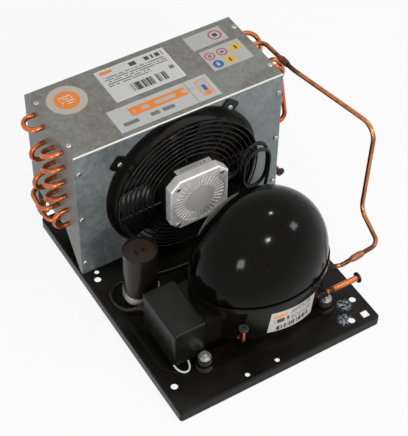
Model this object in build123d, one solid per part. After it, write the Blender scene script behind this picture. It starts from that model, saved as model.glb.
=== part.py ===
from build123d import *
import math
import os

# Air-cooled refrigeration condensing unit, in millimetres.
# +X is the discharge side, -Y the compressor side, +Z up.  The origin is the
# centre of the tray's four mounting holes, on the tray's top face.

# ---------------------------------------------------------------- tray
tray_width = 294.0
tray_depth = 370.0
tray_flange = 15.0
tray_sheet = 1.5
tray_front = -138.0
mount_spacing_x = 265.0
mount_spacing_y = 196.0
mount_hole_r = 4.5
small_hole_r = 3.2
square_hole = 10.0
bead_width = 7.0
bead_height = 1.2
bead_reach = 24.0

# ---------------------------------------------------------------- condenser
shroud_width = 298.8
shroud_depth = 131.0
shroud_height = 211.7
shroud_centre_x = 4.2
shroud_front = 115.4
sheet = 1.0
bend_r = 2.5
flange = 13.0
rear_leg = 10.0
cutout_height = 52.0
coil_pitch = 25.4
coil_levels = 6
coil_tube_r = 3.2
coil_tube_wall = 0.6
coil_front_row = 144.5
coil_top_level = 198.6
fin_pitch = 5.0
fin_thickness = 0.35
fin_margin = 8.0
tube_hole_clearance = 0.08
tube_stub = 3.0
screw_head_r = 3.4
screw_head_height = 2.0
screw_shank_r = 1.6
screw_length = 8.0
screw_inset = 5.5

# ---------------------------------------------------------------- fan
ring_r = 110.0
ring_flat = 104.5
ring_thickness = 2.5
collar_r = 101.0
collar_wall = 2.0
collar_front = 16.0
collar_back = 14.0
fan_tip_clearance = 4.0
tab_pcd = 225.0
tab_angle = 52.5
guard_wire_r = 1.1
guard_bar_r = 1.5
guard_rings = 7
guard_rise = 3.5
guard_spokes = 8
motor_size = 84.0
motor_corner = 13.0
screw_inboard = 10.0
motor_front = 70.0
end_cover_depth = 13.0
housing_depth = 20.0
motor_wall = 2.5
motor_shaft_r = 3.0
band_wall = 2.2
band_depth = 6.0
band_start = 9.5
band_reach = 14.5
motor_rotor_r = 19.0
motor_gap = 0.4
running_clearance = 0.05
blade_count = 5
hub_r = 24.0
hub_depth = 16.0
hub_gap = 6.0
blade_pitch = 28.0

# ---------------------------------------------------------------- compressor
shell_x = 22.6
shell_y = -41.3
shell_a = 90.0
shell_b = 70.0
shell_bottom = 5.0
shell_seam = 83.0
shell_top = 194.6
shell_wall = 3.0
seam_lip = 3.2
seam_turn = 45.0
foot_span_x = 179.0
foot_span_y = 98.0
foot_half_width = 10.0
foot_end = 11.0
foot_centre_x = 4.5
foot_level = 7.0
foot_sheet = 2.5
grommet_r = 11.0
grommet_height = 17.0
sleeve_r = 5.0
stud_r = 3.0
stator_size = 104.0
stator_low = 30.0
stator_high = 75.0
rotor_r = 30.0
rotor_gap = 0.5
winding_r = 40.0
spring_x = 40.0
spring_y = 30.0
crank_r = 8.0
crank_throw = 8.0
crank_pin_r = 6.0
bore_r = 12.7
bore_level = 122.0
cylinder_start = 22.0
cylinder_end = 58.0

# ---------------------------------------------------------------- pipes
pipe_r = 3.0
pipe_wall = 0.7
sleeve_wall = 1.6
sleeve_length = 18.0
suction_r = 4.0
plug_flange_thickness = 2.6
plug_stem_clearance = 0.06
plug_depth = 9.0
plug_rim = 3.2
socket_length = 9.0
suction_end = 139.0
process_y = -104.0
process_top = 58.0
outlet_reach = 8.0
outlet_z = 24.0
outlet_end = 122.0
top_swage_share = 0.72
foot_swage_share = 0.58

# ---------------------------------------------------------------- electrics
box_x = -99.2
box_y = -40.9
box_width = 45.0
box_length = 79.0
box_low = 12.0
box_high = 69.0
box_wall = 2.2
cap_x = -102.0
cap_y = 36.5
cap_r = 22.0
cap_height = 102.0
clip_sheet = 1.2
clip_reach = 10.0
lead_r = 2.6
cable_r = 2.5
earth_lead_r = 1.2
cord_arc_share = 0.45
label_thickness = 0.2

tray_left = -tray_width / 2
tray_back = tray_front + tray_depth
shroud_left = shroud_centre_x - shroud_width / 2
shroud_right = shroud_centre_x + shroud_width / 2
shroud_back = shroud_front + shroud_depth
fan_x = shroud_centre_x
fan_z = shroud_height / 2
foot_y = (shell_y - foot_span_y / 2, shell_y + foot_span_y / 2)
foot_x = (foot_centre_x - foot_span_x / 2, foot_centre_x + foot_span_x / 2)



def cylinder_z(x, y, z0, z1, r):
    """Upright cylinder from z0 to z1."""
    return Pos(x, y, z0) * Cylinder(r, z1 - z0, align=(Align.CENTER, Align.CENTER, Align.MIN))


def cylinder_y(x, z, y0, y1, r):
    """Cylinder along Y from y0 to y1."""
    return Pos(x, y0, z) * Rot(-90, 0, 0) * Cylinder(r, y1 - y0, align=(Align.CENTER, Align.CENTER, Align.MIN))


def cylinder_x(y, z, x0, x1, r):
    """Cylinder along X from x0 to x1."""
    return Pos(x0, y, z) * Rot(0, 90, 0) * Cylinder(r, x1 - x0, align=(Align.CENTER, Align.CENTER, Align.MIN))


def block(x0, x1, y0, y1, z0, z1):
    """Box between two corners."""
    return Pos((x0 + x1) / 2, (y0 + y1) / 2, (z0 + z1) / 2) * Box(x1 - x0, y1 - y0, z1 - z0)


def pipe(path, r, wall=None):
    """Round pipe along a path; solid when no wall is given."""
    plane = Plane(origin=path @ 0, z_dir=path % 0)
    body = sweep(plane * Circle(r), path=path)
    if wall:
        body -= sweep(plane * Circle(r - wall), path=path)
    return body


def group(shapes):
    """Several separate solids under one node."""
    return Compound([solid for shape in shapes for solid in shape.solids()])


# ================================================================ tray
def make_tray():
    outer = block(tray_left, -tray_left, tray_front, tray_back, -tray_flange, 0)
    outer = fillet(outer.edges().filter_by(Axis.Z), 4)
    outer = fillet(outer.faces().sort_by(Axis.Z)[-1].edges(), 2)
    inner = block(
        tray_left + tray_sheet, -tray_left - tray_sheet,
        tray_front + tray_sheet, tray_back - tray_sheet,
        -tray_flange - 1, -tray_sheet,
    )
    inner = fillet(inner.edges().filter_by(Axis.Z), 3)
    tray = outer - inner
    bead_left = tray_left + 13
    bead_low = tray_front + 52
    bead_high = tray_front + 226
    bead_right = tray_left + 110
    rim = RectangleRounded(bead_right - bead_left, bead_high - bead_low, 28)
    rim -= RectangleRounded(bead_right - bead_left - 2 * bead_width, bead_high - bead_low - 2 * bead_width, 22)
    rim &= Pos((bead_reach + bead_left - bead_right) / 2, 0) * Rectangle(bead_reach, tray_depth)
    bead = extrude(Pos((bead_left + bead_right) / 2, (bead_low + bead_high) / 2, -0.2) * rim, bead_height + 0.2)
    bead = fillet(bead.faces().sort_by(Axis.Z)[-1].edges(), 1.0)
    tray += bead
    for x, y, r in tray_holes():
        tray -= cylinder_z(x, y, -tray_sheet - 1, 1, r)
    square_y = tray_front + 12.9
    tray -= Pos(mount_spacing_x / 2, square_y, 0) * Box(square_hole, square_hole, 6)
    for x in foot_x:
        for y in foot_y:
            tray -= cylinder_z(x, y, -tray_sheet - 1, 1, stud_r + 0.1)
    return tray


def tray_holes():
    """Round holes of the tray: mounting holes, then service holes."""
    holes = [
        (sx * mount_spacing_x / 2, sy * mount_spacing_y / 2, mount_hole_r)
        for sx in (-1, 1) for sy in (-1, 1)
    ]
    front_row = tray_front + 9.5
    holes += [(tray_left + 100.3, front_row, small_hole_r), (tray_left + 143.9, front_row, small_hole_r)]
    holes += [(tray_left + 259, tray_front + 12.8, mount_hole_r)]
    holes += [(tray_left + 19.3, tray_front + 247.7, small_hole_r)]
    holes += [(x, y, screw_shank_r + 0.1) for x, y in tray_screw_points()]
    return holes


# ================================================================ condenser
def ring_tabs():
    """Angles of the fan ring's four fixing tabs."""
    return [tab_angle + 90 * k for k in range(4)]


def tab_point(angle, r=tab_pcd / 2):
    return fan_x + r * math.cos(math.radians(angle)), fan_z + r * math.sin(math.radians(angle))


def front_screw_points():
    """Screws of the shroud's front face, as x, z."""
    spacing = 81.0
    return [
        (x, fan_z - 3.5 + k * spacing)
        for x in (shroud_left + screw_inset, shroud_right - screw_inset)
        for k in (-1, 0, 1)
    ]


def top_screw_points():
    """Screws of the shroud's top face, as x, y."""
    return [
        (x, shroud_front + inset)
        for x in (shroud_left + screw_inset, shroud_right - screw_inset)
        for inset in (22.4, 109.0)
    ]


def make_shroud():
    outer = block(shroud_left, shroud_right, shroud_front, shroud_back, 0, shroud_height)
    front_top = outer.edges().filter_by(Axis.X).sort_by(Axis.Z)[-2:].sort_by(Axis.Y)[0]
    outer = fillet(front_top, bend_r)
    inner = block(
        shroud_left - 1, shroud_right + 1, shroud_front + sheet, shroud_back + 1, -1, shroud_height - sheet,
    )
    inner_edge = inner.edges().filter_by(Axis.X).sort_by(Axis.Z)[-2:].sort_by(Axis.Y)[0]
    inner = fillet(inner_edge, bend_r - sheet)
    shroud = outer - inner
    shroud -= cylinder_y(fan_x, fan_z, shroud_front - 1, shroud_front + sheet + 1, collar_r + collar_wall + 0.5)
    for x, z in front_screw_points():
        shroud -= cylinder_y(x, z, shroud_front - 1, shroud_front + sheet + 1, screw_shank_r + 0.1)
    for x, y in top_screw_points():
        shroud -= cylinder_z(x, y, shroud_height - sheet - 1, shroud_height + 1, screw_shank_r + 0.1)
    for angle in ring_tabs():
        x, z = tab_point(angle)
        shroud -= cylinder_y(x, z, shroud_front - 1, shroud_front + sheet + 1, screw_shank_r + 0.1)
    return shroud


def row_y(row):
    """Depth of a tube row; row 1 is next to the fan."""
    return coil_front_row + (row - 1) * coil_pitch


def level_z(row, level):
    """Height of a tube; even rows are staggered by half a pitch."""
    stagger = coil_pitch / 2 if row == 2 else 0.0
    return coil_top_level - stagger - level * coil_pitch


def tube_points():
    """Every tube of the coil as (row, level)."""
    tubes = [(row, level) for row in (1, 2, 3) for level in range(coil_levels)]
    return tubes + [(4, 0), (4, coil_levels - 1)]


def tube_place(tube):
    return row_y(tube[0]), level_z(*tube)


def tube_holes(x0, x1, clearance):
    """Cutters for all tubes through a plate between x0 and x1."""
    r = coil_tube_r + clearance
    return [cylinder_x(*tube_place(tube), x0, x1, r) for tube in tube_points()]


def make_end_plate(side):
    """Coil end plate with flanges turned inwards at the front, top, back and foot."""
    wall_x = shroud_left if side < 0 else shroud_right - sheet
    front = shroud_front + sheet
    top = shroud_height - sheet
    plate = block(wall_x, wall_x + sheet, front, shroud_back, 0, top)
    reach0 = wall_x if side < 0 else wall_x + sheet - flange
    reach1 = reach0 + flange
    plate += block(reach0, reach1, front, front + sheet, 0, top)
    plate += block(reach0, reach1, shroud_back - sheet, shroud_back, 0, top)
    plate += block(reach0, reach1, front, shroud_back, top - sheet, top)
    plate += block(reach0, reach1, front, shroud_back, 0, sheet)
    for cutter in tube_holes(wall_x - 1, wall_x + sheet + 1, tube_hole_clearance):
        plate -= cutter
    corner = bend_r - sheet + 0.1
    plate -= block(wall_x - 2 * flange, wall_x + 2 * flange, front - 1, front + corner, top - corner, top + 1)
    leg = shroud_back - rear_leg
    cut = [(shroud_front + 5, -1), (shroud_front + 41, cutout_height), (leg, cutout_height), (leg, -1)]
    plate -= extrude(Plane.YZ * make_face(Polyline(*cut, close=True)), 2 * shroud_width, both=True)
    for x, z in front_screw_points():
        if reach0 < x < reach1:
            plate -= cylinder_y(x, z, front - 1, front + sheet + 1, screw_shank_r)
    for x, y in top_screw_points():
        if reach0 < x < reach1:
            plate -= cylinder_z(x, y, top - sheet - 1, top + 1, screw_shank_r)
    return plate


def make_fins():
    """Fin pack: thin plates on the tubes, between the two end plates."""
    y0 = row_y(1) - coil_pitch / 2
    y1 = row_y(4) + coil_pitch / 2
    z0 = level_z(2, coil_levels - 1) - coil_pitch / 2
    z1 = shroud_height - 2 * sheet - 0.2
    face = Pos((y0 + y1) / 2, (z0 + z1) / 2) * Rectangle(y1 - y0, z1 - z0)
    for tube in tube_points():
        y, z = tube_place(tube)
        face -= Pos(y, z) * Circle(coil_tube_r + tube_hole_clearance)
    fin = extrude(Plane.YZ * face, fin_thickness)
    inner_left = shroud_left + sheet
    inner_right = shroud_right - sheet
    count = int((inner_right - inner_left - 2 * fin_margin) / fin_pitch)
    first = (inner_left + inner_right) / 2 - (count - 1) * fin_pitch / 2
    return group([Pos(first + k * fin_pitch, 0, 0) * fin for k in range(count)])


def make_coil_tubes():
    x0 = shroud_left - tube_stub
    x1 = shroud_right + tube_stub
    tubes = []
    for tube in tube_points():
        y, z = tube_place(tube)
        tubes.append(cylinder_x(y, z, x0, x1, coil_tube_r) - cylinder_x(y, z, x0 - 1, x1 + 1, coil_tube_r - coil_tube_wall))
    return group(tubes)


def return_bend(first, second, side, reach=4.0):
    """U bend that joins two tube ends on one side of the coil."""
    y0, z0 = tube_place(first)
    y1, z1 = tube_place(second)
    gap = math.hypot(y1 - y0, z1 - z0)
    radius = gap / 2
    start = shroud_left - tube_stub if side < 0 else shroud_right + tube_stub
    turn = start + side * reach
    tip = Vector(turn + side * radius, (y0 + y1) / 2, (z0 + z1) / 2)
    legs = [
        Line((start, y0, z0), (turn, y0, z0)),
        ThreePointArc((turn, y0, z0), tip, (turn, y1, z1)),
        Line((turn, y1, z1), (start, y1, z1)),
    ]
    return pipe(Wire(legs), coil_tube_r, coil_tube_wall)


def jumper(first, second, side, reach, radius=11.0):
    """Long crossover tube with rounded corners between two tube ends."""
    y0, z0 = tube_place(first)
    y1, z1 = tube_place(second)
    start = shroud_left - tube_stub if side < 0 else shroud_right + tube_stub
    out = start + side * reach
    path = FilletPolyline((start, y0, z0), (out, y0, z0), (out, y1, z1), (start, y1, z1), radius=radius)
    return pipe(path, coil_tube_r, coil_tube_wall)


def make_bends_left():
    bends = [return_bend((1, k), (2, k), -1) for k in range(4)]
    bends.append(return_bend((1, 4), (1, 5), -1))
    bends.append(return_bend((3, 1), (3, 2), -1))
    bends.append(return_bend((3, 3), (3, 4), -1))
    bends.append(return_bend((3, 0), (4, 0), -1))
    bends.append(jumper((3, 5), (2, 4), -1, 19.0))
    bends.append(jumper((4, 5), (2, 5), -1, 14.0))
    return group(bends)


def make_bends_right():
    bends = [return_bend((4, 0), (3, 1), 1)]
    bends.append(return_bend((3, 2), (3, 3), 1))
    bends.append(return_bend((3, 4), (3, 5), 1))
    bends.append(return_bend((2, 4), (2, 3), 1))
    bends.append(return_bend((2, 2), (2, 1), 1))
    bends.append(return_bend((1, 3), (1, 2), 1))
    bends.append(return_bend((1, 1), (1, 0), 1))
    bends.append(return_bend((1, 5), (2, 5), 1))
    bends.append(jumper((2, 0), (1, 4), 1, 27.0))
    return group(bends)


def pan_screw_y(x, z, y):
    """Pan-head screw that enters +Y; y is the seat of its head."""
    head = cylinder_y(x, z, y - screw_head_height, y, screw_head_r)
    head = fillet(head.edges().filter_by(GeomType.CIRCLE).sort_by(Axis.Y)[0], 1.2)
    cross = block(x - 2.2, x + 2.2, y - screw_head_height - 1, y - 0.9, z - 0.4, z + 0.4)
    cross += block(x - 0.4, x + 0.4, y - screw_head_height - 1, y - 0.9, z - 2.2, z + 2.2)
    return head - cross + cylinder_y(x, z, y, y + screw_length, screw_shank_r - 0.05)


def pan_screw_z(x, y, z):
    """Pan-head screw that enters -Z; z is the seat of its head."""
    screw = pan_screw_y(0, 0, 0)
    return Pos(x, y, z) * Rot(-90, 0, 0) * screw


# ================================================================ fan
ring_back = shroud_front
ring_front = shroud_front - ring_thickness
collar_start = shroud_front - collar_front
collar_end = shroud_front + collar_back
motor_half = motor_size / 2
bearing_r = 6.5
bearing_bore = motor_shaft_r + running_clearance / 2
cover_back = motor_front + end_cover_depth
housing_back = cover_back + housing_depth


def make_fan_ring():
    """Wall ring with its collar, four fixing tabs, guard rings and spokes."""
    ring = cylinder_y(fan_x, fan_z, ring_front, ring_back, ring_r)
    ring &= Pos(fan_x, ring_back, fan_z) * Box(2 * ring_r, 20, 2 * ring_flat)
    for angle in ring_tabs():
        x, z = tab_point(angle)
        tab = Pos(x, (ring_front + ring_back) / 2, z) * Rot(0, -angle, 0) * Box(20, ring_thickness, 22)
        ring += fillet(tab.edges().filter_by(Axis.Y), 4)
    ring += cylinder_y(fan_x, fan_z, collar_start, collar_end, collar_r + collar_wall)
    ring -= cylinder_y(fan_x, fan_z, collar_start - 1, collar_end + 1, collar_r)
    for angle in ring_tabs():
        x, z = tab_point(angle)
        ring -= cylinder_y(x, z, ring_front - 1, ring_back + 1, screw_shank_r + 0.3)
    return ring


def guard_ring_profile(k):
    """Radius and depth of guard ring k, from the collar in to the motor."""
    t = k / guard_rings
    outer = collar_r + collar_wall - guard_wire_r
    inner = motor_half + band_reach
    r = outer + (inner - outer) * t
    y = collar_start - guard_wire_r - 2 * guard_bar_r - guard_rise * t
    return r, y


def make_fan_guard():
    """Basket: spokes on a band around the motor, and the wires welded in front of them."""
    band = motor_section(motor_half + band_wall, motor_corner)
    frame = extrude(motor_plane(cover_back + band_start) * band, band_depth)
    outer_r, outer_y = guard_ring_profile(0)
    inner_r, inner_y = guard_ring_profile(guard_rings)
    slope = math.atan2(outer_y - inner_y, outer_r - inner_r)
    bar_offset = (guard_wire_r + guard_bar_r + 0.05) / math.cos(slope)
    root_r = motor_half - 6
    for k in range(guard_spokes):
        angle = math.radians(tab_angle - 45 + 360 / guard_spokes * k)
        direction = Vector(math.cos(angle), 0, math.sin(angle))
        ends = []
        for r in (root_r, collar_r + 1):
            y = outer_y + bar_offset - math.tan(slope) * (outer_r - r)
            ends.append(Vector(fan_x, y, fan_z) + direction * r)
        frame += pipe(Line(*ends), guard_bar_r)
    frame -= extrude(motor_plane(motor_front - 10) * motor_section(motor_half + 0.02, motor_corner), 60)
    frame -= cylinder_y(fan_x, fan_z, collar_start, collar_start + 20, ring_r)
    wires = []
    for k in range(guard_rings + 1):
        r, y = guard_ring_profile(k)
        wires.append(Pos(fan_x, y, fan_z) * Rot(90, 0, 0) * Torus(r, guard_wire_r))
    return group([frame] + wires)


def motor_section(half, corner):
    """Square motor outline with cut corners."""
    outline = Rectangle(2 * half, 2 * half)
    return chamfer(outline.vertices(), corner)


def motor_plane(y):
    """Drawing plane of the motor at depth y, facing +Y."""
    return Plane(origin=(fan_x, y, fan_z), x_dir=(-1, 0, 0), z_dir=(0, 1, 0))


def make_end_cover():
    """Cast aluminium motor cover: fluted square dish with a raised round boss."""
    cover = extrude(motor_plane(motor_front) * motor_section(motor_half, motor_corner), end_cover_depth)
    front_edges = cover.faces().sort_by(Axis.Y)[0].edges()
    cover = fillet(front_edges, 2.5)
    cover -= extrude(
        motor_plane(motor_front + motor_wall) * motor_section(motor_half - motor_wall, motor_corner - 1),
        end_cover_depth,
    )
    recess = cylinder_y(fan_x, fan_z, motor_front - 1, motor_front + 1.2, 37)
    recess -= cylinder_y(fan_x, fan_z, motor_front - 2, motor_front + 2, 21)
    cover -= recess
    for k in range(36):
        angle = 10 * k
        rib = Pos(fan_x, motor_front + 0.8, fan_z) * Rot(0, angle, 0) * Pos(29, 0, 0) * Box(15, 1.6, 1.6)
        cover += rib
    cover += cylinder_y(fan_x, fan_z, motor_front + 1, motor_front + 9, 10)
    cover -= cylinder_y(fan_x, fan_z, motor_front + 4, motor_front + 10, bearing_r)
    for x, z in motor_screw_points():
        cover -= cylinder_y(x, z, motor_front - 1, cover_back + 1, screw_shank_r + 0.1)
    return cover


def motor_screw_points():
    """Four motor screws, as x, z."""
    reach = motor_half - screw_inboard
    return [(fan_x + sx * reach, fan_z + sz * reach) for sx in (-1, 1) for sz in (-1, 1)]


def make_housing():
    """Black motor housing behind the cover, with the rear bearing seat."""
    body = extrude(motor_plane(cover_back) * motor_section(motor_half, motor_corner), housing_depth)
    body -= extrude(
        motor_plane(cover_back - 1) * motor_section(motor_half - motor_wall, motor_corner - 1),
        housing_depth - motor_wall + 1,
    )
    body += cylinder_y(fan_x, fan_z, housing_back - 9, housing_back, 10)
    body -= cylinder_y(fan_x, fan_z, housing_back - 10, housing_back - 4, bearing_r)
    body -= cylinder_y(fan_x, fan_z, housing_back - 12, housing_back + 1, motor_shaft_r + 0.6)
    for x, z in motor_screw_points():
        post = cylinder_y(x, z, cover_back, housing_back - 1, 3.6)
        body += post - cylinder_y(x, z, cover_back - 1, cover_back + 12, screw_shank_r - 0.05)
    return body


def make_motor_bearings():
    front = cylinder_y(fan_x, fan_z, motor_front + 4, motor_front + 9, bearing_r - 0.02)
    rear = cylinder_y(fan_x, fan_z, housing_back - 9, housing_back - 4, bearing_r - 0.02)
    bore = cylinder_y(fan_x, fan_z, motor_front - 5, housing_back + 5, bearing_bore)
    return group([front - bore, rear - bore])


def make_motor_stator():
    """Lamination stack with a round bore and its winding on both faces."""
    y0 = motor_front + 11
    y1 = housing_back - 12
    stack = cylinder_y(fan_x, fan_z, y0, y1, motor_half - motor_wall - 4)
    return stack - cylinder_y(fan_x, fan_z, y0 - 1, y1 + 1, motor_rotor_r + motor_gap)


def make_motor_winding():
    y0 = motor_front + 11
    y1 = housing_back - 12
    rings = []
    for low, high in ((y0 - 4, y0), (y1, y1 + 4)):
        ring = cylinder_y(fan_x, fan_z, low, high, motor_half - motor_wall - 8)
        rings.append(ring - cylinder_y(fan_x, fan_z, low - 1, high + 1, motor_rotor_r + 3))
    return group(rings)


def make_motor_rotor():
    y0 = motor_front + 10.5
    y1 = housing_back - 11
    rotor = cylinder_y(fan_x, fan_z, y0, y1, motor_rotor_r)
    return rotor - cylinder_y(fan_x, fan_z, y0 - 1, y1 + 1, motor_shaft_r)


hub_front = housing_back + hub_gap
hub_back = hub_front + hub_depth


def make_fan_shaft():
    return cylinder_y(fan_x, fan_z, motor_front + 4.5, hub_back + 2, motor_shaft_r)


def blade_section(r, pitch, chord):
    """Cambered blade section at radius r, drawn across the radial direction."""
    plane = Plane(origin=(r, 0, 0), x_dir=(0, math.cos(math.radians(pitch)), math.sin(math.radians(pitch))), z_dir=(1, 0, 0))
    rise = chord * 0.08
    half = chord / 2
    upper = ThreePointArc((-half, 0.8), (0, rise + 0.8), (half, 0.8))
    lower = ThreePointArc((-half, -0.8), (0, rise - 0.8), (half, -0.8))
    ends = [Line((-half, -0.8), (-half, 0.8)), Line((half, 0.8), (half, -0.8))]
    return plane * make_face([upper, lower] + ends)


def make_fan_blade():
    """Impeller: hub with five cambered, twisted blades."""
    tip = collar_r - fan_tip_clearance
    root = blade_section(hub_r - 3, blade_pitch + 12, 30)
    middle = blade_section((hub_r + tip) / 2, blade_pitch, 52)
    end = blade_section(tip + 2, blade_pitch - 8, 62)
    blade = loft([root, middle, end])
    middle_y = (hub_front + hub_back) / 2
    wheel = cylinder_y(0, 0, 0, hub_depth, hub_r)
    wheel = fillet(wheel.edges().filter_by(GeomType.CIRCLE), 2)
    fan = Pos(fan_x, hub_front, fan_z) * wheel
    for k in range(blade_count):
        turned = Rot(0, 360 / blade_count * k + 12, 0) * Rot(90, 0, 0) * blade
        fan += Pos(fan_x, middle_y, fan_z) * turned
    fan &= cylinder_y(fan_x, fan_z, hub_front - hub_r, hub_back + hub_r, tip)
    return fan - cylinder_y(fan_x, fan_z, hub_front - 1, hub_back + 1, motor_shaft_r)


def make_fan_nut():
    """Clip nut that holds the impeller on its shaft."""
    nut = extrude(motor_plane(hub_back) * RegularPolygon(5.5, 6), 4)
    return nut - cylinder_y(fan_x, fan_z, hub_back - 1, hub_back + 2, motor_shaft_r)


# ================================================================ compressor
def oval(profile):
    """Revolve a half section about Z and squeeze it to the shell's oval, its seam clear of the ports."""
    round_body = Rot(0, 0, seam_turn) * revolve(Plane.XZ * profile, Axis.Z)
    squeezed = scale(round_body, by=(1, shell_b / shell_a, 1))
    return Pos(shell_x, shell_y, 0) * squeezed


def cup_profile(shrink):
    """Half section of the lower shell, drawn smaller by shrink."""
    r = shell_a - shrink
    z0 = shell_bottom + shrink
    corner = 24 - shrink
    edge = [
        Line((0, z0), (r - 2 - corner, z0)),
        RadiusArc((r - 2 - corner, z0), (r - 2, z0 + corner), -corner),
        Line((r - 2, z0 + corner), (r, shell_seam)),
        Line((r, shell_seam), (0, shell_seam)),
        Line((0, shell_seam), (0, z0)),
    ]
    return make_face(edge)


def dome_profile(shrink, low):
    """Half section of the upper shell, drawn smaller by shrink."""
    r = shell_a + 1 - shrink
    height = shell_top - shell_seam - 5 - shrink
    base = shell_seam + 5
    edge = [
        Line((0, low), (r, low)),
        Line((r, low), (r, base)),
        EllipticalCenterArc((0, base), r, height, start_angle=0, arc_size=90),
        Line((0, base + height), (0, low)),
    ]
    return make_face(edge)


def lip(z0, z1, r):
    return oval(Pos(r / 2, (z0 + z1) / 2) * Rectangle(r, z1 - z0))


def make_lower_shell():
    shell = oval(cup_profile(0)) + lip(shell_seam - 5, shell_seam, shell_a + seam_lip)
    shell -= oval(cup_profile(shell_wall))
    for cutter in shell_port_cutters():
        shell -= cutter
    return shell


def make_upper_shell():
    body = oval(dome_profile(0, shell_seam)) + lip(shell_seam, shell_seam + 3, shell_a + seam_lip)
    return body - oval(dome_profile(shell_wall, shell_seam - 1))


def shell_port_cutters():
    """Holes of the lower shell for its three stubs and the terminal."""
    cutters = [cylinder_x(discharge_y, discharge_z, shell_x, shell_x + 110, pipe_r + 1.3)]
    cutters.append(cylinder_x(suction_y, suction_z, shell_x, shell_x + 110, suction_r + 1.3))
    cutters.append(cylinder_y(process_x, process_z, shell_y - 110, shell_y, pipe_r + 1.3))
    cutters.append(cylinder_x(shell_y, terminal_z, shell_x - 110, shell_x, terminal_r))
    return cutters


def make_feet():
    """Front and rear foot bars, cut to the foot of the shell they are welded to."""
    bars = []
    for y in foot_y:
        bar = block(
            foot_x[0] - foot_end, foot_x[1] + foot_end,
            y - foot_half_width, y + foot_half_width,
            foot_level, foot_level + foot_sheet,
        )
        bar = fillet(bar.edges().filter_by(Axis.Z), foot_half_width - 0.1)
        bar -= oval(cup_profile(-0.15))
        for x in foot_x:
            bar -= cylinder_z(x, y, foot_level - 1, foot_level + 6, grommet_r - 3.5)
        bars += [piece for piece in bar.solids() if piece.volume > 200]
    return group(bars)


def make_grommets():
    """Rubber grommets, each gripping its foot in a groove."""
    waist = grommet_r - 3.8
    grommets = []
    for x in foot_x:
        for y in foot_y:
            body = cylinder_z(x, y, 0, foot_level - 0.1, grommet_r)
            body += cylinder_z(x, y, foot_level - 0.1, foot_level + foot_sheet + 0.1, waist)
            body += cylinder_z(x, y, foot_level + foot_sheet + 0.1, grommet_height, grommet_r - 2.3)
            grommets.append(body - cylinder_z(x, y, -1, grommet_height + 1, sleeve_r + 0.05))
    return group(grommets)


def make_mount_sleeves():
    """Steel spacer sleeves inside the grommets, with a wide washer head."""
    sleeves = []
    for x in foot_x:
        for y in foot_y:
            sleeve = cylinder_z(x, y, 0, grommet_height + 0.3, sleeve_r)
            sleeve += cylinder_z(x, y, grommet_height + 0.3, grommet_height + 1.8, grommet_r - 3)
            sleeves.append(sleeve - cylinder_z(x, y, -1, grommet_height + 3, stud_r + 0.2))
    return group(sleeves)


def make_mount_bolts():
    """Bolts from under the tray through the sleeves, with flanged nuts on top."""
    bolts = []
    for x in foot_x:
        for y in foot_y:
            bolts.append(cylinder_z(x, y, -tray_sheet, grommet_height + 9, stud_r))
            bolts[-1] += cylinder_z(x, y, -tray_sheet - 3, -tray_sheet, 6)
    return group(bolts)


def make_mount_nuts():
    seat = grommet_height + 1.8
    nuts = []
    for x in foot_x:
        for y in foot_y:
            nut = extrude(Pos(x, y, seat) * RegularPolygon(5.8, 6), 5)
            nut += cylinder_z(x, y, seat, seat + 1.2, 7.2)
            nuts.append(nut - cylinder_z(x, y, seat - 1, seat + 6, stud_r + 0.02))
    return group(nuts)


def inner(shape):
    """Place a piece drawn about the compressor's axis."""
    return Pos(shell_x, shell_y, 0) * shape


def make_stator():
    half = stator_size / 2
    plan = chamfer(Rectangle(stator_size, stator_size).vertices(), 12)
    plan -= Circle(rotor_r + rotor_gap)
    for sx in (-1, 1):
        for sy in (-1, 1):
            plan -= Pos(sx * (half - 10), sy * (half - 10)) * Circle(3.3)
    return inner(extrude(Pos(0, 0, stator_low) * plan, stator_high - stator_low))


def make_windings():
    rings = []
    for low, high in ((stator_low - 10, stator_low), (stator_high, stator_high + 9)):
        ring = cylinder_z(0, 0, low, high, winding_r) - cylinder_z(0, 0, low - 1, high + 1, rotor_r + 3)
        rings.append(inner(fillet(ring.edges().filter_by(GeomType.CIRCLE), 2)))
    return group(rings)


def make_rotor():
    rotor = cylinder_z(0, 0, stator_low - 1, stator_high + 1, rotor_r)
    return inner(rotor - cylinder_z(0, 0, 0, 100, crank_r))


def make_crankshaft():
    web = bore_level - 13
    shaft = cylinder_z(0, 0, 16, web, crank_r)
    shaft += cylinder_z(0, 0, web, web + 5, 16)
    shaft += cylinder_z(crank_throw, 0, web + 5, bore_level + 9, crank_pin_r)
    return inner(shaft)


def make_cylinder_block():
    web = bore_level - 13
    body = cylinder_z(0, 0, 86, web - 0.3, 15)
    plate = Pos(0, 0, 96) * Box(98, 92, 10)
    body += fillet(plate.edges().filter_by(Axis.Z), 14)
    body += block(cylinder_start, cylinder_end, -18, 18, 95, bore_level)
    body += cylinder_x(0, bore_level, cylinder_start, cylinder_end, 18)
    body -= cylinder_x(0, bore_level, 0, cylinder_end + 5, bore_r)
    body -= cylinder_z(0, 0, 80, 130, crank_r + running_clearance)
    body -= cylinder_z(0, 0, web - 0.2, 200, 21)
    for sx in (-1, 1):
        for sy in (-1, 1):
            reach = stator_size / 2 - 10
            body += cylinder_z(sx * reach, sy * reach, stator_high, 94, 5)
    for sx in (-1, 1):
        for sy in (-1, 1):
            body -= cylinder_z(sx * reach, sy * reach, stator_high - 1, 94, 3)
    return inner(body)


def make_stator_bolts():
    reach = stator_size / 2 - 10
    bolts = []
    for sx in (-1, 1):
        for sy in (-1, 1):
            bolt = cylinder_z(sx * reach, sy * reach, stator_low, 93, 2.95)
            bolt += cylinder_z(sx * reach, sy * reach, stator_low - 4, stator_low, 5)
            bolts.append(inner(bolt))
    return group(bolts)


piston_back = cylinder_end - 24
piston_crown = cylinder_end - 0.6
wrist_x = piston_back + 9


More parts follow.
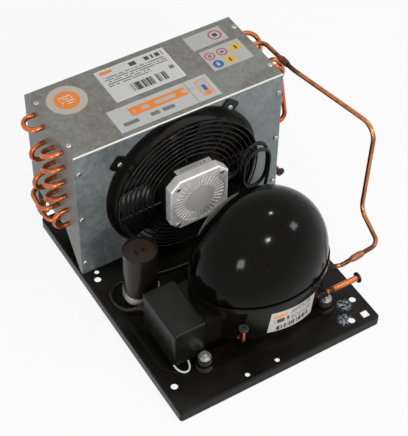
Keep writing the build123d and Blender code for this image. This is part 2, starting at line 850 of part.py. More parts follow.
def make_piston():
    piston = cylinder_x(0, bore_level, piston_back, piston_crown, bore_r - running_clearance)
    piston -= cylinder_x(0, bore_level, piston_back - 1, piston_crown - 4, 10.2)
    piston -= cylinder_y(wrist_x, bore_level, -20, 20, 3.5)
    return inner(piston)


def make_wrist_pin():
    return inner(cylinder_y(wrist_x, bore_level, -12, 12, 3.48))


def make_connecting_rod():
    """Small end and shank of the rod, open at the crank: it stops clear of the pin's circle."""
    seat = 3 * crank_throw + crank_pin_r + 0.4
    rod = block(seat, wrist_x, -3.5, 3.5, bore_level - 3.5, bore_level + 3.5)
    rod += cylinder_y(wrist_x, bore_level, -5, 5, 6)
    return inner(rod - cylinder_y(wrist_x, bore_level, -10, 10, 3.53))


def make_valve_plate():
    return inner(block(cylinder_end, cylinder_end + 2, -17, 17, bore_level - 15, bore_level + 15))


def make_cylinder_head():
    head = block(cylinder_end + 2, cylinder_end + 11, -15, 15, bore_level - 13, bore_level + 13)
    head = fillet(head.edges().filter_by(Axis.X), 5)
    return inner(head - block(cylinder_end + 1, cylinder_end + 8, -11, 11, bore_level - 9, bore_level + 9))


def spring_points():
    return [(sx * spring_x, sy * spring_y) for sx in (-1, 1) for sy in (-1, 1)]


def make_springs():
    """Suspension springs between the shell's floor and the motor."""
    low = shell_bottom + shell_wall + 2
    high = stator_low - 6
    wire = 1.0
    springs = []
    for x, y in spring_points():
        helix = Pos(x, y, low + wire) * Helix(pitch=(high - low - 2 * wire) / 4, height=high - low - 2 * wire, radius=6)
        section = Plane(origin=helix @ 0, z_dir=helix % 0) * Circle(wire)
        springs.append(inner(sweep(section, path=helix, is_frenet=True)))
    return group(springs)


def make_spring_seats():
    """Pads that centre the springs, below on the shell and above on the motor."""
    floor = shell_bottom + shell_wall
    seats = []
    for x, y in spring_points():
        seats.append(inner(cylinder_z(x, y, floor, floor + 2, 6.8) + cylinder_z(x, y, floor, floor + 7, 4.4)))
        upper = cylinder_z(x, y, stator_low - 6, stator_low - 4, 8) + cylinder_z(x, y, stator_low - 6, stator_low, 4.4)
        seats.append(inner(upper))
    return group(seats)


terminal_z = 42.0
terminal_r = 13.0
discharge_y = -78.0
discharge_z = 57.0
suction_y = -93.0
suction_z = 34.0
process_x = -39.0
process_z = 31.0


def shell_reach_x(y, z_share=1.0):
    """Half width of the lower shell at depth y."""
    return shell_a * z_share * math.sqrt(1 - ((y - shell_y) / shell_b) ** 2)


def make_terminal():
    """Hermetic terminal: steel cup, three glass-sealed pins."""
    face = shell_x - shell_a
    cup = cylinder_x(shell_y, terminal_z, face - 1, face + 5, terminal_r - 0.1)
    for angle in (90, 210, 330):
        dy = 6 * math.cos(math.radians(angle))
        dz = 6 * math.sin(math.radians(angle))
        cup += cylinder_x(shell_y + dy, terminal_z + dz, face - 9, face + 10, 1.6)
    return cup


def make_relay():
    """Start relay and overload protector pushed onto the terminal pins."""
    face = shell_x - shell_a
    body = block(face - 26, face - 4, shell_y - 22, shell_y + 22, terminal_z - 14, terminal_z + 14)
    body = fillet(body.edges().filter_by(Axis.X), 4)
    for angle in (90, 210, 330):
        dy = 6 * math.cos(math.radians(angle))
        dz = 6 * math.sin(math.radians(angle))
        body -= cylinder_x(shell_y + dy, terminal_z + dz, face - 9.3, face, 1.7)
    return body


def make_terminal_cover():
    """Black box over the relay, open towards the shell."""
    x0 = box_x - box_width / 2
    x1 = box_x + box_width / 2
    y0 = box_y - box_length / 2
    y1 = box_y + box_length / 2
    cover = block(x0, x1, y0, y1, box_low, box_high)
    cover = fillet(cover.edges().filter_by(Axis.Z), 4)
    cover = fillet(cover.faces().sort_by(Axis.Z)[-1].edges(), 2)
    cover -= block(x0 + box_wall, x1 + 1, y0 + box_wall, y1 - box_wall, box_low + box_wall, box_high - box_wall)
    cover -= oval(cup_profile(-0.6))
    return cover


def make_terminal_bracket():
    """Steel fence welded on the shell around the terminal."""
    x1 = box_x + box_width / 2
    half = box_length / 2 - box_wall - 1.5
    fence = block(x1 - 8, x1 + 30, box_y - half, box_y + half, terminal_z - 20, terminal_z + 20)
    fence -= block(x1 - 9, x1 + 31, box_y - half + 1.5, box_y + half - 1.5, terminal_z - 18.5, terminal_z + 18.5)
    return group([piece for piece in (fence - oval(cup_profile(-0.1))).solids() if piece.volume > 200])


# ================================================================ electrics
def make_capacitor():
    body = cylinder_z(cap_x, cap_y, 0, cap_height, cap_r)
    body = fillet(body.edges().filter_by(GeomType.CIRCLE).sort_by(Axis.Z)[0], 3)
    return body - cylinder_z(cap_x, cap_y, cap_height - 5, cap_height + 1, cap_r - 1.4)


def make_capacitor_cap():
    disc = cylinder_z(cap_x, cap_y, cap_height - 5, cap_height - 3, cap_r - 1.5)
    for sx in (-1, 1):
        disc += Pos(cap_x + sx * 5, cap_y, cap_height - 1) * Box(0.9, 6, 4.2)
    return disc


def make_capacitor_clip():
    """Clamp band around the capacitor, with its tab down to the tray."""
    r = cap_r + 0.05
    band = cylinder_z(cap_x, cap_y, 20, 32, r + clip_sheet) - cylinder_z(cap_x, cap_y, 19, 33, r)
    side = cap_x + r
    leg = block(side, side + clip_sheet, cap_y - 6, cap_y + 6, 0, 32)
    tab = block(side, side + clip_reach + 6, cap_y - 6, cap_y + 6, 0, clip_sheet)
    clip = band + leg + tab
    clip -= cylinder_z(cap_x, cap_y, -1, 33, r)
    return clip - cylinder_z(cap_x + cap_r + clip_reach, cap_y, -1, 3, screw_shank_r + 0.1)


# ================================================================ pipes
def discharge_route():
    """Corners of the discharge line, from the coil's inlet to the shell."""
    y_in, z_in = tube_place((3, 0))
    start = shroud_right + tube_stub
    wall = shell_x_at(discharge_y, discharge_z)
    return [
        (start, y_in, z_in),
        (start + 18, y_in, z_in),
        (start + 18.5, 126, z_in + 3.5),
        (206, -12, 198),
        (190, -25.5, 71),
        (180, discharge_y, 61),
        (wall + 25, discharge_y, discharge_z - 4),
        (wall + 14, discharge_y, discharge_z),
        (wall - 5, discharge_y, discharge_z),
    ]


def make_discharge_line():
    route = FilletPolyline(*discharge_route(), radius=[12, 60, 24, 17, 14, 12, 12])
    return pipe(route, pipe_r, pipe_wall)


def swage_on(start, end, share, r):
    """Swaged, brazed collar on the straight stretch from start to end."""
    along = (Vector(end) - Vector(start)).normalized()
    middle = Vector(start) + (Vector(end) - Vector(start)) * share
    plane = Plane(origin=middle - along * (sleeve_length / 2), z_dir=along)
    bore = r + 0.03
    profile = [(bore, 0), (r + 0.6, 0), (r + sleeve_wall, 5), (r + sleeve_wall, sleeve_length - 4)]
    profile += [(r + 0.8, sleeve_length), (bore, sleeve_length)]
    return plane.location * revolve(Plane.XZ * make_face(Polyline(*profile, close=True)), Axis.Z)


def make_swages():
    """Brazed collars of the discharge line: near the coil and near the shell."""
    corners = discharge_route()
    top = swage_on(corners[1], corners[2], top_swage_share, pipe_r)
    foot = swage_on(corners[5], corners[6], foot_swage_share, pipe_r)
    return group([top, foot])


def stub_socket(x, y, z, r):
    """Steel socket welded in the shell's wall around a stub along X."""
    socket = cylinder_x(y, z, x - 4, x + socket_length, r + 1.25)
    return socket - cylinder_x(y, z, x - 5, x + socket_length + 1, r + 0.03)


def shell_x_at(y, z):
    """X of the lower shell's right wall at a depth and height."""
    slope = 2.0 * (shell_seam - z) / (shell_seam - shell_bottom)
    reach = (shell_a - slope) * math.sqrt(max(0.0, 1 - ((y - shell_y) / (shell_b * shell_a / shell_a)) ** 2))
    return shell_x + reach


def make_port_sockets():
    """Welded steel sockets that carry the three stubs of the shell."""
    discharge = stub_socket(shell_x_at(discharge_y, discharge_z), discharge_y, discharge_z, pipe_r)
    suction = stub_socket(shell_x_at(suction_y, suction_z), suction_y, suction_z, suction_r)
    front = shell_y - shell_b * math.sqrt(1 - ((process_x - shell_x) / shell_a) ** 2)
    process = cylinder_y(process_x, process_z, front - 1.5, front + 6, pipe_r + 1.25)
    process -= cylinder_y(process_x, process_z, front - 6, front + 7, pipe_r + 0.03)
    return group([discharge, suction, process])


def make_suction_stub():
    """Service stub of the suction side, painted near the shell and open at its end."""
    start = shell_x_at(suction_y, suction_z) - 5
    tube = cylinder_x(suction_y, suction_z, start, suction_end, suction_r)
    return tube - cylinder_x(suction_y, suction_z, start - 1, suction_end + 1, suction_r - pipe_wall)


def make_process_stub():
    """Process tube: out of the shell's front, then up."""
    front = shell_y - shell_b * math.sqrt(1 - ((process_x - shell_x) / shell_a) ** 2)
    path = FilletPolyline(
        (process_x, front + 6, process_z),
        (process_x, process_y, process_z),
        (process_x, process_y, process_top),
        radius=7,
    )
    return pipe(path, pipe_r, pipe_wall)


def make_plug(r):
    """Rubber plug along +Z: hollow stem, flange at z = 0 and a small pull loop."""
    stem = cylinder_z(0, 0, -plug_depth, 0, r - pipe_wall - plug_stem_clearance)
    disc = cylinder_z(0, 0, 0, plug_flange_thickness, r + plug_rim)
    disc = fillet(disc.edges().filter_by(GeomType.CIRCLE).sort_by(Axis.Z)[-1], 0.8)
    plug = stem + disc
    return plug - cylinder_z(0, 0, 0.8, plug_flange_thickness + 1, 1.8)


def make_suction_plug():
    return Pos(suction_end, suction_y, suction_z) * Rot(0, 90, 0) * make_plug(suction_r)


def make_process_plug():
    return Pos(process_x, process_y, process_top) * make_plug(pipe_r)


def outlet_route():
    """Corners of the liquid outlet, from the last tube round to the front."""
    y, z = tube_place((4, coil_levels - 1))
    start = shroud_right + tube_stub
    return [
        (start, y, z),
        (start + outlet_reach, y, z),
        (start + outlet_reach, y - 22, outlet_z + 6),
        (start + outlet_reach, shroud_front + 40, outlet_z),
        (start + outlet_reach, outlet_end, outlet_z),
    ]


def make_liquid_outlet():
    route = FilletPolyline(*outlet_route(), radius=[6, 6, 20])
    return pipe(route, pipe_r, pipe_wall)


def make_liquid_plug():
    x = shroud_right + tube_stub + outlet_reach
    return Pos(x, outlet_end, outlet_z) * Rot(90, 0, 0) * make_plug(pipe_r)


def top_label(x0, x1, y0, y1):
    """Blank sticker on the shroud's top."""
    return block(x0, x1, y0, y1, shroud_height, shroud_height + label_thickness)


def make_labels():
    left = shroud_left
    front = shroud_front
    stickers = [cylinder_z(left + 41.2, front + 95.6, shroud_height, shroud_height + label_thickness, 26)]
    stickers.append(top_label(left + 91.7, left + 192, front + 60, front + 122.5))
    stickers.append(top_label(left + 71.2, left + 213.2, front + 8.6, front + 50.6))
    stickers.append(top_label(left + 223.2, left + 276.7, front + 94.6, front + 122.6))
    stickers.append(top_label(left + 226.7, left + 285.2, front + 47.6, front + 88.6))
    return group(stickers)


def make_motor_label():
    """Blank strip on top of the motor."""
    top = fan_z + motor_half
    return block(fan_x - 25.5, fan_x + 25.5, cover_back + 0.3, cover_back + 8.5, top, top + label_thickness)


def make_shell_label():
    """Blank plate wrapped on the front of the lower shell."""
    skin = oval(cup_profile(-label_thickness - 0.2)) - oval(cup_profile(-0.2))
    window = Pos(shell_x + 7.4, shell_y - shell_b, 46) * Rot(0, 6, 0) * Box(68, 60, 37)
    return skin & window


def make_motor_gland():
    """Grommet where the fan's cable leaves the housing."""
    side = fan_x + motor_half
    y = cover_back + band_start / 2
    z = fan_z - 8
    return cylinder_x(y, z, side, side + 5, 4.2) - cylinder_x(y, z, side + 1, side + 6, lead_r)


def make_pan_screws():
    """All pan-head screws: shroud, fan ring, motor, capacitor and earth point."""
    screws = [pan_screw_y(x, z, shroud_front) for x, z in front_screw_points()]
    screws += [pan_screw_z(x, y, shroud_height) for x, y in top_screw_points()]
    screws += [pan_screw_y(*tab_point(angle), ring_front) for angle in ring_tabs()]
    screws += [pan_screw_y(x, z, motor_front) for x, z in motor_screw_points()]
    screws += [pan_screw_z(x, y, clip_sheet) for x, y in tray_screw_points()]
    return group(screws)


def tray_screw_points():
    """Screws into the tray: the capacitor's clip and the earth point."""
    return [(cap_x + cap_r + clip_reach, cap_y)]


# ================================================================ free leads
fan_cable_points = [
    (47.2, 87.75, 97.85), (62, 87.75, 97.85), (71, 87.6, 104), (76, 87.4, 116), (77.9, 87.1, 130),
    (88.5, 86.9, 140.6), (103.5, 86.6, 140.6), (114.1, 86.3, 130), (116.5, 86, 104), (114.1, 85.4, 79),
    (103.5, 84.6, 67.4), (88.5, 83.8, 67.4), (77.9, 82.9, 78), (75.5, 81.2, 102), (78.9, 80.3, 124),
    (89.5, 80, 134.6), (104.5, 79.8, 134.6), (115.1, 79.5, 124), (114.5, 79, 100), (110.5, 77.5, 75),
    (105, 75.5, 52), (100, 73, 32), (93, 70.5, 15), (80, 68, 5.5), (60, 65.5, 3.1), (34, 62, 2.9),
    (4, 59.5, 2.8), (-26, 60, 2.9), (-56, 63.5, 2.8), (-84, 70.5, 3), (-108, 76.5, 3.9), (-126, 72, 4.6),
    (-135, 56, 4.7), (-133.5, 40, 6.5), (-130, 27, 11.5), (-125, 18.5, 18), (-118.5, 12, 24),
    (-114.5, 5.5, 27), (-114.5, -1.4, 27),
]
earth_lead_points = [
    (-119, -73, 12), (-119, -73, 7.6), (-118.7, -76.3, 4.1), (-117.2, -82.5, 2.9), (-112.5, -87.9, 2.0),
    (-106, -87.9, 1.5), (-101.5, -83.4, 1.6), (-100, -77, 3.2), (-99.5, -73.5, 7), (-99.5, -73.5, 12),
]


def cord_tube(points, r):
    """Round tube along runs joined by arcs, each as wide as its two runs allow."""
    corners = [Vector(*point) for point in points]
    runs = [after - before for before, after in zip(corners, corners[1:])]
    radii = []
    for before, after in zip(runs, runs[1:]):
        half_turn = math.radians(before.get_angle(after)) / 2
        radii.append(cord_arc_share * min(before.length, after.length) / math.tan(half_turn))
    print("cord radii", [round(radius, 1) for radius in radii])
    path = FilletPolyline(*points, radius=radii)
    return sweep(Plane(origin=path @ 0, z_dir=path % 0) * Circle(r), path=path)


def make_fan_cable():
    """Cable of the fan motor: a loose hank, then along the tray to the terminal cover."""
    return cord_tube(fan_cable_points, cable_r)


def make_earth_lead():
    """Thin lead that loops out from under the terminal cover."""
    return cord_tube(earth_lead_points, earth_lead_r)


def save(name, shape):
    """Write one node, after checking that it holds sound solids."""
    solids = shape.solids()
    assert solids, name
    assert all(solid.is_valid for solid in solids), name
    export_step(shape, f"parts/{name}.step")


def main():
    os.makedirs("parts", exist_ok=True)
    parts = {
        "tray": make_tray(),
        "condenser_shroud": make_shroud(),
        "coil_end_plate_left": make_end_plate(-1),
        "coil_end_plate_right": make_end_plate(1),
        "condenser_fins": make_fins(),
        "condenser_tubes": make_coil_tubes(),
        "return_bends_left": make_bends_left(),
        "return_bends_right": make_bends_right(),
        "pan_head_screws": make_pan_screws(),
        "fan_ring": make_fan_ring(),
        "fan_guard": make_fan_guard(),
        "fan_motor_cover": make_end_cover(),
        "fan_motor_housing": make_housing(),
        "fan_motor_bearings": make_motor_bearings(),
        "fan_motor_stator": make_motor_stator(),
        "fan_motor_winding": make_motor_winding(),
        "fan_motor_gland": make_motor_gland(),
        "fan_motor_rotor": make_motor_rotor(),
        "fan_shaft": make_fan_shaft(),
        "fan_blade": make_fan_blade(),
        "fan_blade_nut": make_fan_nut(),
        "compressor_lower_shell": make_lower_shell(),
        "compressor_upper_shell": make_upper_shell(),
        "compressor_feet": make_feet(),
        "mount_grommets": make_grommets(),
        "mount_sleeves": make_mount_sleeves(),
        "mount_bolts": make_mount_bolts(),
        "mount_nuts": make_mount_nuts(),
        "compressor_stator": make_stator(),
        "compressor_windings": make_windings(),
        "compressor_stator_bolts": make_stator_bolts(),
        "compressor_rotor": make_rotor(),
        "compressor_crankshaft": make_crankshaft(),
        "compressor_cylinder_block": make_cylinder_block(),
        "compressor_piston": make_piston(),
        "compressor_wrist_pin": make_wrist_pin(),
        "compressor_connecting_rod": make_connecting_rod(),
        "compressor_valve_plate": make_valve_plate(),
        "compressor_cylinder_head": make_cylinder_head(),
        "compressor_springs": make_springs(),
        "compressor_spring_seats": make_spring_seats(),
        "hermetic_terminal": make_terminal(),
        "start_relay": make_relay(),
        "terminal_bracket": make_terminal_bracket(),
        "terminal_cover": make_terminal_cover(),
        "start_capacitor": make_capacitor(),
        "capacitor_terminals": make_capacitor_cap(),
        "capacitor_clip": make_capacitor_clip(),
        "port_sockets": make_port_sockets(),
        "suction_stub": make_suction_stub(),
        "process_stub": make_process_stub(),
        "discharge_line": make_discharge_line(),
        "discharge_swages": make_swages(),
        "liquid_outlet": make_liquid_outlet(),
        "suction_plug": make_suction_plug(),
        "process_plug": make_process_plug(),
        "liquid_plug": make_liquid_plug(),
        "fan_cable": make_fan_cable(),
        "earth_lead": make_earth_lead(),
        "labels": group([make_labels(), make_motor_label(), make_shell_label()]),
    }
    for name, shape in parts.items():
        save(name, shape)
    print(len(parts), "nodes")


if __name__ == "__main__":
    main()
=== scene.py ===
import logging
import math
from dataclasses import dataclass
from enum import Enum

import bmesh
import bpy
from mathutils import Matrix, Vector


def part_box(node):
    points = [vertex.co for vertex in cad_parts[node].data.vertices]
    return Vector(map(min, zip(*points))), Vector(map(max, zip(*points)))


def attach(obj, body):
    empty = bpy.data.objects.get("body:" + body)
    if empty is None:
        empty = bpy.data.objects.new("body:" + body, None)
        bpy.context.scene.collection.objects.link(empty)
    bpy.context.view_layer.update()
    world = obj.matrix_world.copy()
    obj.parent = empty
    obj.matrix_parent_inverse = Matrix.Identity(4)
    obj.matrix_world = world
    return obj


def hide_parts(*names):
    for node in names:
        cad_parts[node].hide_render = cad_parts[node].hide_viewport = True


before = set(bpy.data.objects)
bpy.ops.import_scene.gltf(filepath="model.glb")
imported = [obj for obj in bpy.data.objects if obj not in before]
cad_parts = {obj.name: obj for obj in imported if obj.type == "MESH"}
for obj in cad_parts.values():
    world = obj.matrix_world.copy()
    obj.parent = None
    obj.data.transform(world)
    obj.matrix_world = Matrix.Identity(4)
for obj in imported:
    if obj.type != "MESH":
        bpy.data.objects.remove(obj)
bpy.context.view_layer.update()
log = logging.getLogger("condensing_unit")

Colour = tuple[float, float, float, float]
Point = tuple[float, float, float]
MM = 0.001
PER_METRE = 1000
EVEN: Point = (1, 1, 1)
UNTURNED: Point = (0, 0, 0)
MIX_SHARE, MIX_FIRST, MIX_SECOND, MIX_RESULT = 0, 6, 7, 2


# ================================================================ node graphs
class Sock:
    """An output of a node; arithmetic on it adds Math nodes."""

    def __init__(self, graph: "Graph", socket: bpy.types.NodeSocket) -> None:
        """Wrap a socket of a graph."""
        self.graph = graph
        self.socket = socket

    def __add__(self, other: "Sock | float") -> "Sock":
        """Sum."""
        return self.graph.math("ADD", self, other)

    def __sub__(self, other: "Sock | float") -> "Sock":
        """Difference."""
        return self.graph.math("SUBTRACT", self, other)

    def __rsub__(self, other: float) -> "Sock":
        """Difference with a number in front."""
        return self.graph.math("SUBTRACT", other, self)

    def __mul__(self, other: "Sock | float") -> "Sock":
        """Product."""
        return self.graph.math("MULTIPLY", self, other)

    def __truediv__(self, other: "Sock | float") -> "Sock":
        """Quotient."""
        return self.graph.math("DIVIDE", self, other)

    def __gt__(self, other: "Sock | float") -> "Sock":
        """1 where this is greater."""
        return self.graph.math("GREATER_THAN", self, other)

    def __lt__(self, other: "Sock | float") -> "Sock":
        """1 where this is less."""
        return self.graph.math("LESS_THAN", self, other)

    def __abs__(self) -> "Sock":
        """Size without sign."""
        return self.graph.math("ABSOLUTE", self)

    __radd__ = __add__
    __rmul__ = __mul__


class Graph:
    """A node tree, built from expressions."""

    def __init__(self, tree: bpy.types.NodeTree) -> None:
        """Empty a tree, to fill it."""
        self.tree = tree
        self.tree.nodes.clear()

    def node(
        self,
        kind: str,
        settings: dict | None = None,
        inputs: dict | None = None,
        out: int | str = 0,
    ) -> Sock:
        """Add a node.

        Args:
            kind: the node's type without its ShaderNode prefix.
            settings: the node's properties, set before its sockets.
            inputs: socket name or number to a value or a Sock.
            out: name or number of the output to return.

        Returns:
            The chosen output.
        """
        made = self.tree.nodes.new("ShaderNode" + kind)
        for key, value in (settings or {}).items():
            setattr(made, key, value)
        for key, value in (inputs or {}).items():
            if isinstance(value, Sock):
                self.tree.links.new(value.socket, made.inputs[key])
            else:
                made.inputs[key].default_value = value
        return Sock(self, made.outputs[out])

    def math(self, operation: str, *values: "Sock | float") -> Sock:
        """Add a Math node of an operation on the values."""
        return self.node("Math", {"operation": operation}, dict(enumerate(values)))

    def seen(self) -> Sock:
        """Tell rays that show the surroundings from rays that only light.

        Returns:
            1 on rays from the camera, off a gloss or through glass.
        """
        eye = self.node("LightPath", out="Is Camera Ray")
        gloss = self.node("LightPath", out="Is Glossy Ray")
        glass = self.node("LightPath", out="Is Transmission Ray")
        return self.math("MAXIMUM", self.math("MAXIMUM", eye, gloss), glass)

    def close(self, kind: str, skin: Sock) -> None:
        """Link a shader to a new output node of a kind."""
        out = self.tree.nodes.new("ShaderNode" + kind)
        self.tree.links.new(skin.socket, out.inputs[0])


class Shader(Graph):
    """One material and its node tree."""

    def __init__(self, name: str) -> None:
        """Start an empty material.

        Args:
            name: the material's name.
        """
        self.material = bpy.data.materials.new(name)
        self.material.use_nodes = True
        super().__init__(self.material.node_tree)

    def point(self, stretch: Point = EVEN, turn: Point = UNTURNED) -> Sock:
        """Give object coordinates, turned and stretched.

        Args:
            stretch: factor on each axis.
            turn: angle about each axis, in radians.

        Returns:
            The coordinates.
        """
        at = self.node("TexCoord", out="Object")
        if (stretch, turn) == (EVEN, UNTURNED):
            return at
        return self.node("Mapping", None, {"Vector": at, "Rotation": turn, "Scale": stretch})

    def axes(self, vector: Sock) -> tuple[Sock, Sock, Sock]:
        """The three numbers of a vector."""
        split = self.node("SeparateXYZ", None, {0: vector}).socket.node
        return tuple(Sock(self, output) for output in split.outputs)

    def up(self) -> Sock:
        """How far the surface faces up, from -1 to 1."""
        return self.axes(self.node("NewGeometry", out="Normal"))[2]

    def noise(
        self, scale: float, detail: float = 3, where: Sock | None = None, twist: float = 0,
    ) -> Sock:
        """Give cloudy noise about 0.5.

        Args:
            scale: cells to the metre.
            detail: octaves of finer noise.
            where: coordinates other than the object's own.
            twist: how far it swirls.

        Returns:
            The noise.
        """
        at = where or self.point()
        inputs = {"Vector": at, "Scale": scale, "Detail": detail, "Distortion": twist}
        return self.node("TexNoise", None, inputs)

    def cells(self, scale: float, where: Sock | None = None, out: str = "Color") -> Sock:
        """Voronoi cells: the Color of each, or the Distance to its centre."""
        return self.node("TexVoronoi", None, {"Vector": where or self.point(), "Scale": scale}, out)

    def dice(self, where: Sock) -> Sock:
        """One random number for each different vector."""
        return self.node("TexWhiteNoise", None, {"Vector": where})

    def rise(self, value: Sock, low: float, high: float) -> Sock:
        """Smooth step from 0 at low to 1 at high."""
        inputs = {"Value": value, "From Min": low, "From Max": high}
        return self.node("MapRange", {"interpolation_type": "SMOOTHSTEP"}, inputs)

    def mix(self, share: "Sock | float", first: "Sock | Colour", second: "Sock | Colour") -> Sock:
        """Blend two colours by the share of the second."""
        inputs = {MIX_SHARE: share, MIX_FIRST: first, MIX_SECOND: second}
        return self.node("Mix", {"data_type": "RGBA"}, inputs, MIX_RESULT)

    def bump(self, height: Sock, depth: float) -> Sock:
        """Normal from a height whose unit is depth metres."""
        return self.node("Bump", None, {"Height": height, "Distance": depth, "Strength": 1.0})

    def near(self, spot: Point, reach: float) -> Sock:
        """Mark the surroundings of a spot.

        Args:
            spot: the spot, in metres.
            reach: distance where the mark ends.

        Returns:
            1 at the spot, falling to 0 at its reach.
        """
        ends = {0: self.point(), 1: spot}
        apart = self.node("VectorMath", {"operation": "DISTANCE"}, ends, "Value")
        return 1 - self.rise(apart, reach * 0.3, reach)

    def finish(
        self, colour: "Sock | Colour", rough: "Sock | float", **others: "Sock | float",
    ) -> bpy.types.Material:
        """Close the tree with a Principled shader.

        Args:
            colour: base colour.
            rough: roughness.
            others: further sockets, with _ for a space in their names.

        Returns:
            The material.
        """
        inputs = {"Base Color": colour, "Roughness": rough}
        inputs.update({key.replace("_", " "): value for key, value in others.items()})
        self.close("OutputMaterial", self.node("BsdfPrincipled", None, inputs))
        return self.material


# ================================================================ finishes
class Grain(Enum):
    """Direction in which a sheet or bar was rolled or drawn."""

    ALONG_X = (0.06, 1.0, 1.0)
    ALONG_Z = (1.0, 1.0, 0.06)
    NONE = (1.0, 1.0, 1.0)


@dataclass(frozen=True)
class BlackPaint:
    """Black enamel on steel, with orange peel, dust where it faces up and fine scuffs."""

    name: str
    colour: Colour = (0.006, 0.0055, 0.005, 1)
    rough: float = 0.2
    peel: float = 0.00002
    dust: float = 0.25
    specular: float = 0.14
    marks: tuple[Point, ...] = ()
    mark_reach: float = 0.012
    mark_tint: Colour = (0.42, 0.47, 0.52, 1)
    dust_tint: Colour = (0.17, 0.16, 0.14, 1)
    scuff_tint: Colour = (0.07, 0.068, 0.065, 1)
    scuff_turn: Point = (0, 0, 0.6)

    def make(self) -> bpy.types.Material:
        """Build the paint.

        Returns:
            The material.
        """
        s = Shader(self.name)
        cloud = s.noise(scale=11, detail=5, twist=0.4)
        scratches = s.noise(300, 3, s.point(Grain.ALONG_X.value, self.scuff_turn))
        scuff = s.rise(scratches, 0.66, 0.72) * s.rise(cloud, 0.5, 0.62)
        settled = s.rise(cloud + s.noise(scale=900, detail=2) * 0.3, 0.55, 0.9)
        dust = s.rise(s.up(), 0.3, 1) * settled * self.dust
        colour = s.mix(dust, self.colour, self.dust_tint)
        colour = s.mix(scuff * 0.35, colour, self.scuff_tint)
        for spot in self.marks:
            broken = s.rise(s.noise(scale=260, detail=4), 0.46, 0.54)
            colour = s.mix(s.near(spot, self.mark_reach) * broken * 0.8, colour, self.mark_tint)
        rough = self.rough + cloud * 0.12 + dust * 0.5 + scuff * 0.3
        peel = s.noise(scale=620, detail=2) + s.noise(scale=55, detail=2) * 3
        normal = s.bump(peel + scuff * -0.5, self.peel)
        return s.finish(colour, rough, Normal=normal, Specular_IOR_Level=self.specular)


@dataclass(frozen=True)
class ZincSheet:
    """Galvanised sheet: faint spangle, rolling streaks, white bloom, painted top light on faces
    that point up and a painted highlight on the fold.
    """

    name: str
    colour: Colour = (0.165, 0.195, 0.19, 1)
    # painted light: faces that point up take this tint for how the light falls on the top, not a
    # colour of the zinc
    bright: Colour = (0.165, 0.155, 0.125, 1)
    rough: float = 0.38
    metal: float = 0.45
    fold_y: float = 1.0
    fold_z: float = 1.0
    fold_core: float = 0.0006
    fold_reach: tuple[float, float] = (0.0022, 0.0026)
    bloom_tint: Colour = (0.33, 0.37, 0.39, 1)
    spangle_tint: Colour = (0.60, 0.62, 0.60, 1)
    grime_tint: Colour = (0.09, 0.085, 0.07, 1)
    # painted highlight colour for the top front fold
    fold_highlight_tint: Colour = (0.80, 0.80, 0.78, 1)
    relief: float = 0.00002

    def make(self) -> bpy.types.Material:
        """Build the sheet's surface.

        Returns:
            The material.
        """
        s = Shader(self.name)
        spangle = s.axes(s.cells(230, s.point((1, 1, 0.7))))[0]
        streak = s.noise(140, 4, s.point(Grain.ALONG_Z.value))
        bloom = s.noise(scale=16, detail=5, twist=0.8)
        grime = s.rise(s.noise(scale=45, detail=4), 0.58, 0.78)
        # painted light: faces that point up blend towards the top-light tint
        colour = s.mix(s.rise(s.up(), 0.2, 0.9), self.colour, self.bright)
        colour = s.mix(s.rise(bloom, 0.35, 0.75) * 0.30, colour, self.bloom_tint)
        colour = s.mix(spangle * 0.14, colour, self.spangle_tint)
        colour = s.mix(grime * 0.18, colour, self.grime_tint)
        # painted highlight: a near-white band along the top front fold
        colour = s.mix(self.fold(s) * 0.8, colour, self.fold_highlight_tint)
        rough = self.rough + spangle * 0.10 + bloom * 0.16 - streak * 0.08
        grit = s.noise(scale=1500, detail=1)
        normal = s.bump(streak + spangle * 0.5 + grit * 0.3, self.relief)
        return s.finish(colour, rough, Metallic=self.metal, Normal=normal)

    def fold(self, s: Shader) -> Sock:
        """Mark the painted highlight along the top front fold.

        Args:
            s: the sheet's shader.

        Returns:
            1 on the fold, 0 away from it.
        """
        _, y, z = s.axes(s.point())
        across = 1 - s.rise(abs(y - self.fold_y), self.fold_core, self.fold_reach[0])
        down = 1 - s.rise(abs(z - self.fold_z), self.fold_core, self.fold_reach[1])
        return across * down


@dataclass(frozen=True)
class DrawnMetal:
    """Bare drawn, turned or plated metal, with tool lines, tarnish, brazing heat and, on the
    suction stub, painted shade.
    """

    name: str
    colour: Colour
    tarnish: Colour
    rough: float = 0.25
    grain: Grain = Grain.NONE
    amount: float = 0.4
    fineness: float = 900
    heat_and_shade_spots: tuple[Point, ...] = ()
    heat_and_shade_reach: float = 0.03
    burnt_and_shade_tint: Colour = (0.035, 0.022, 0.016, 1)
    relief: float = 0.00003

    def make(self) -> bpy.types.Material:
        """Build the metal.

        Returns:
            The material.
        """
        s = Shader(self.name)
        lines = s.noise(self.fineness, 3, s.point(self.grain.value))
        cloud = s.noise(scale=38, detail=5, twist=0.7)
        spots = s.rise(s.noise(scale=150, detail=4), 0.56, 0.74)
        worn = s.rise(cloud, 0.42, 0.72)
        colour = s.mix(worn * self.amount, self.colour, self.tarnish)
        colour = s.mix(spots * self.amount * 0.7, colour, self.tarnish)
        rough = self.rough + worn * 0.16 + lines * 0.12
        # dark spots round the listed places: brazing heat; on the suction stub they also paint the
        # shell's shadow over its root
        for spot in self.heat_and_shade_spots:
            burnt = s.near(spot, self.heat_and_shade_reach) * s.rise(s.noise(scale=120, detail=4), 0.34, 0.6)
            colour = s.mix(burnt * 0.85, colour, self.burnt_and_shade_tint)
            rough = rough + burnt * 0.25
        normal = s.bump(lines + cloud * 0.4, self.relief)
        return s.finish(colour, rough, Metallic=1.0, Normal=normal)


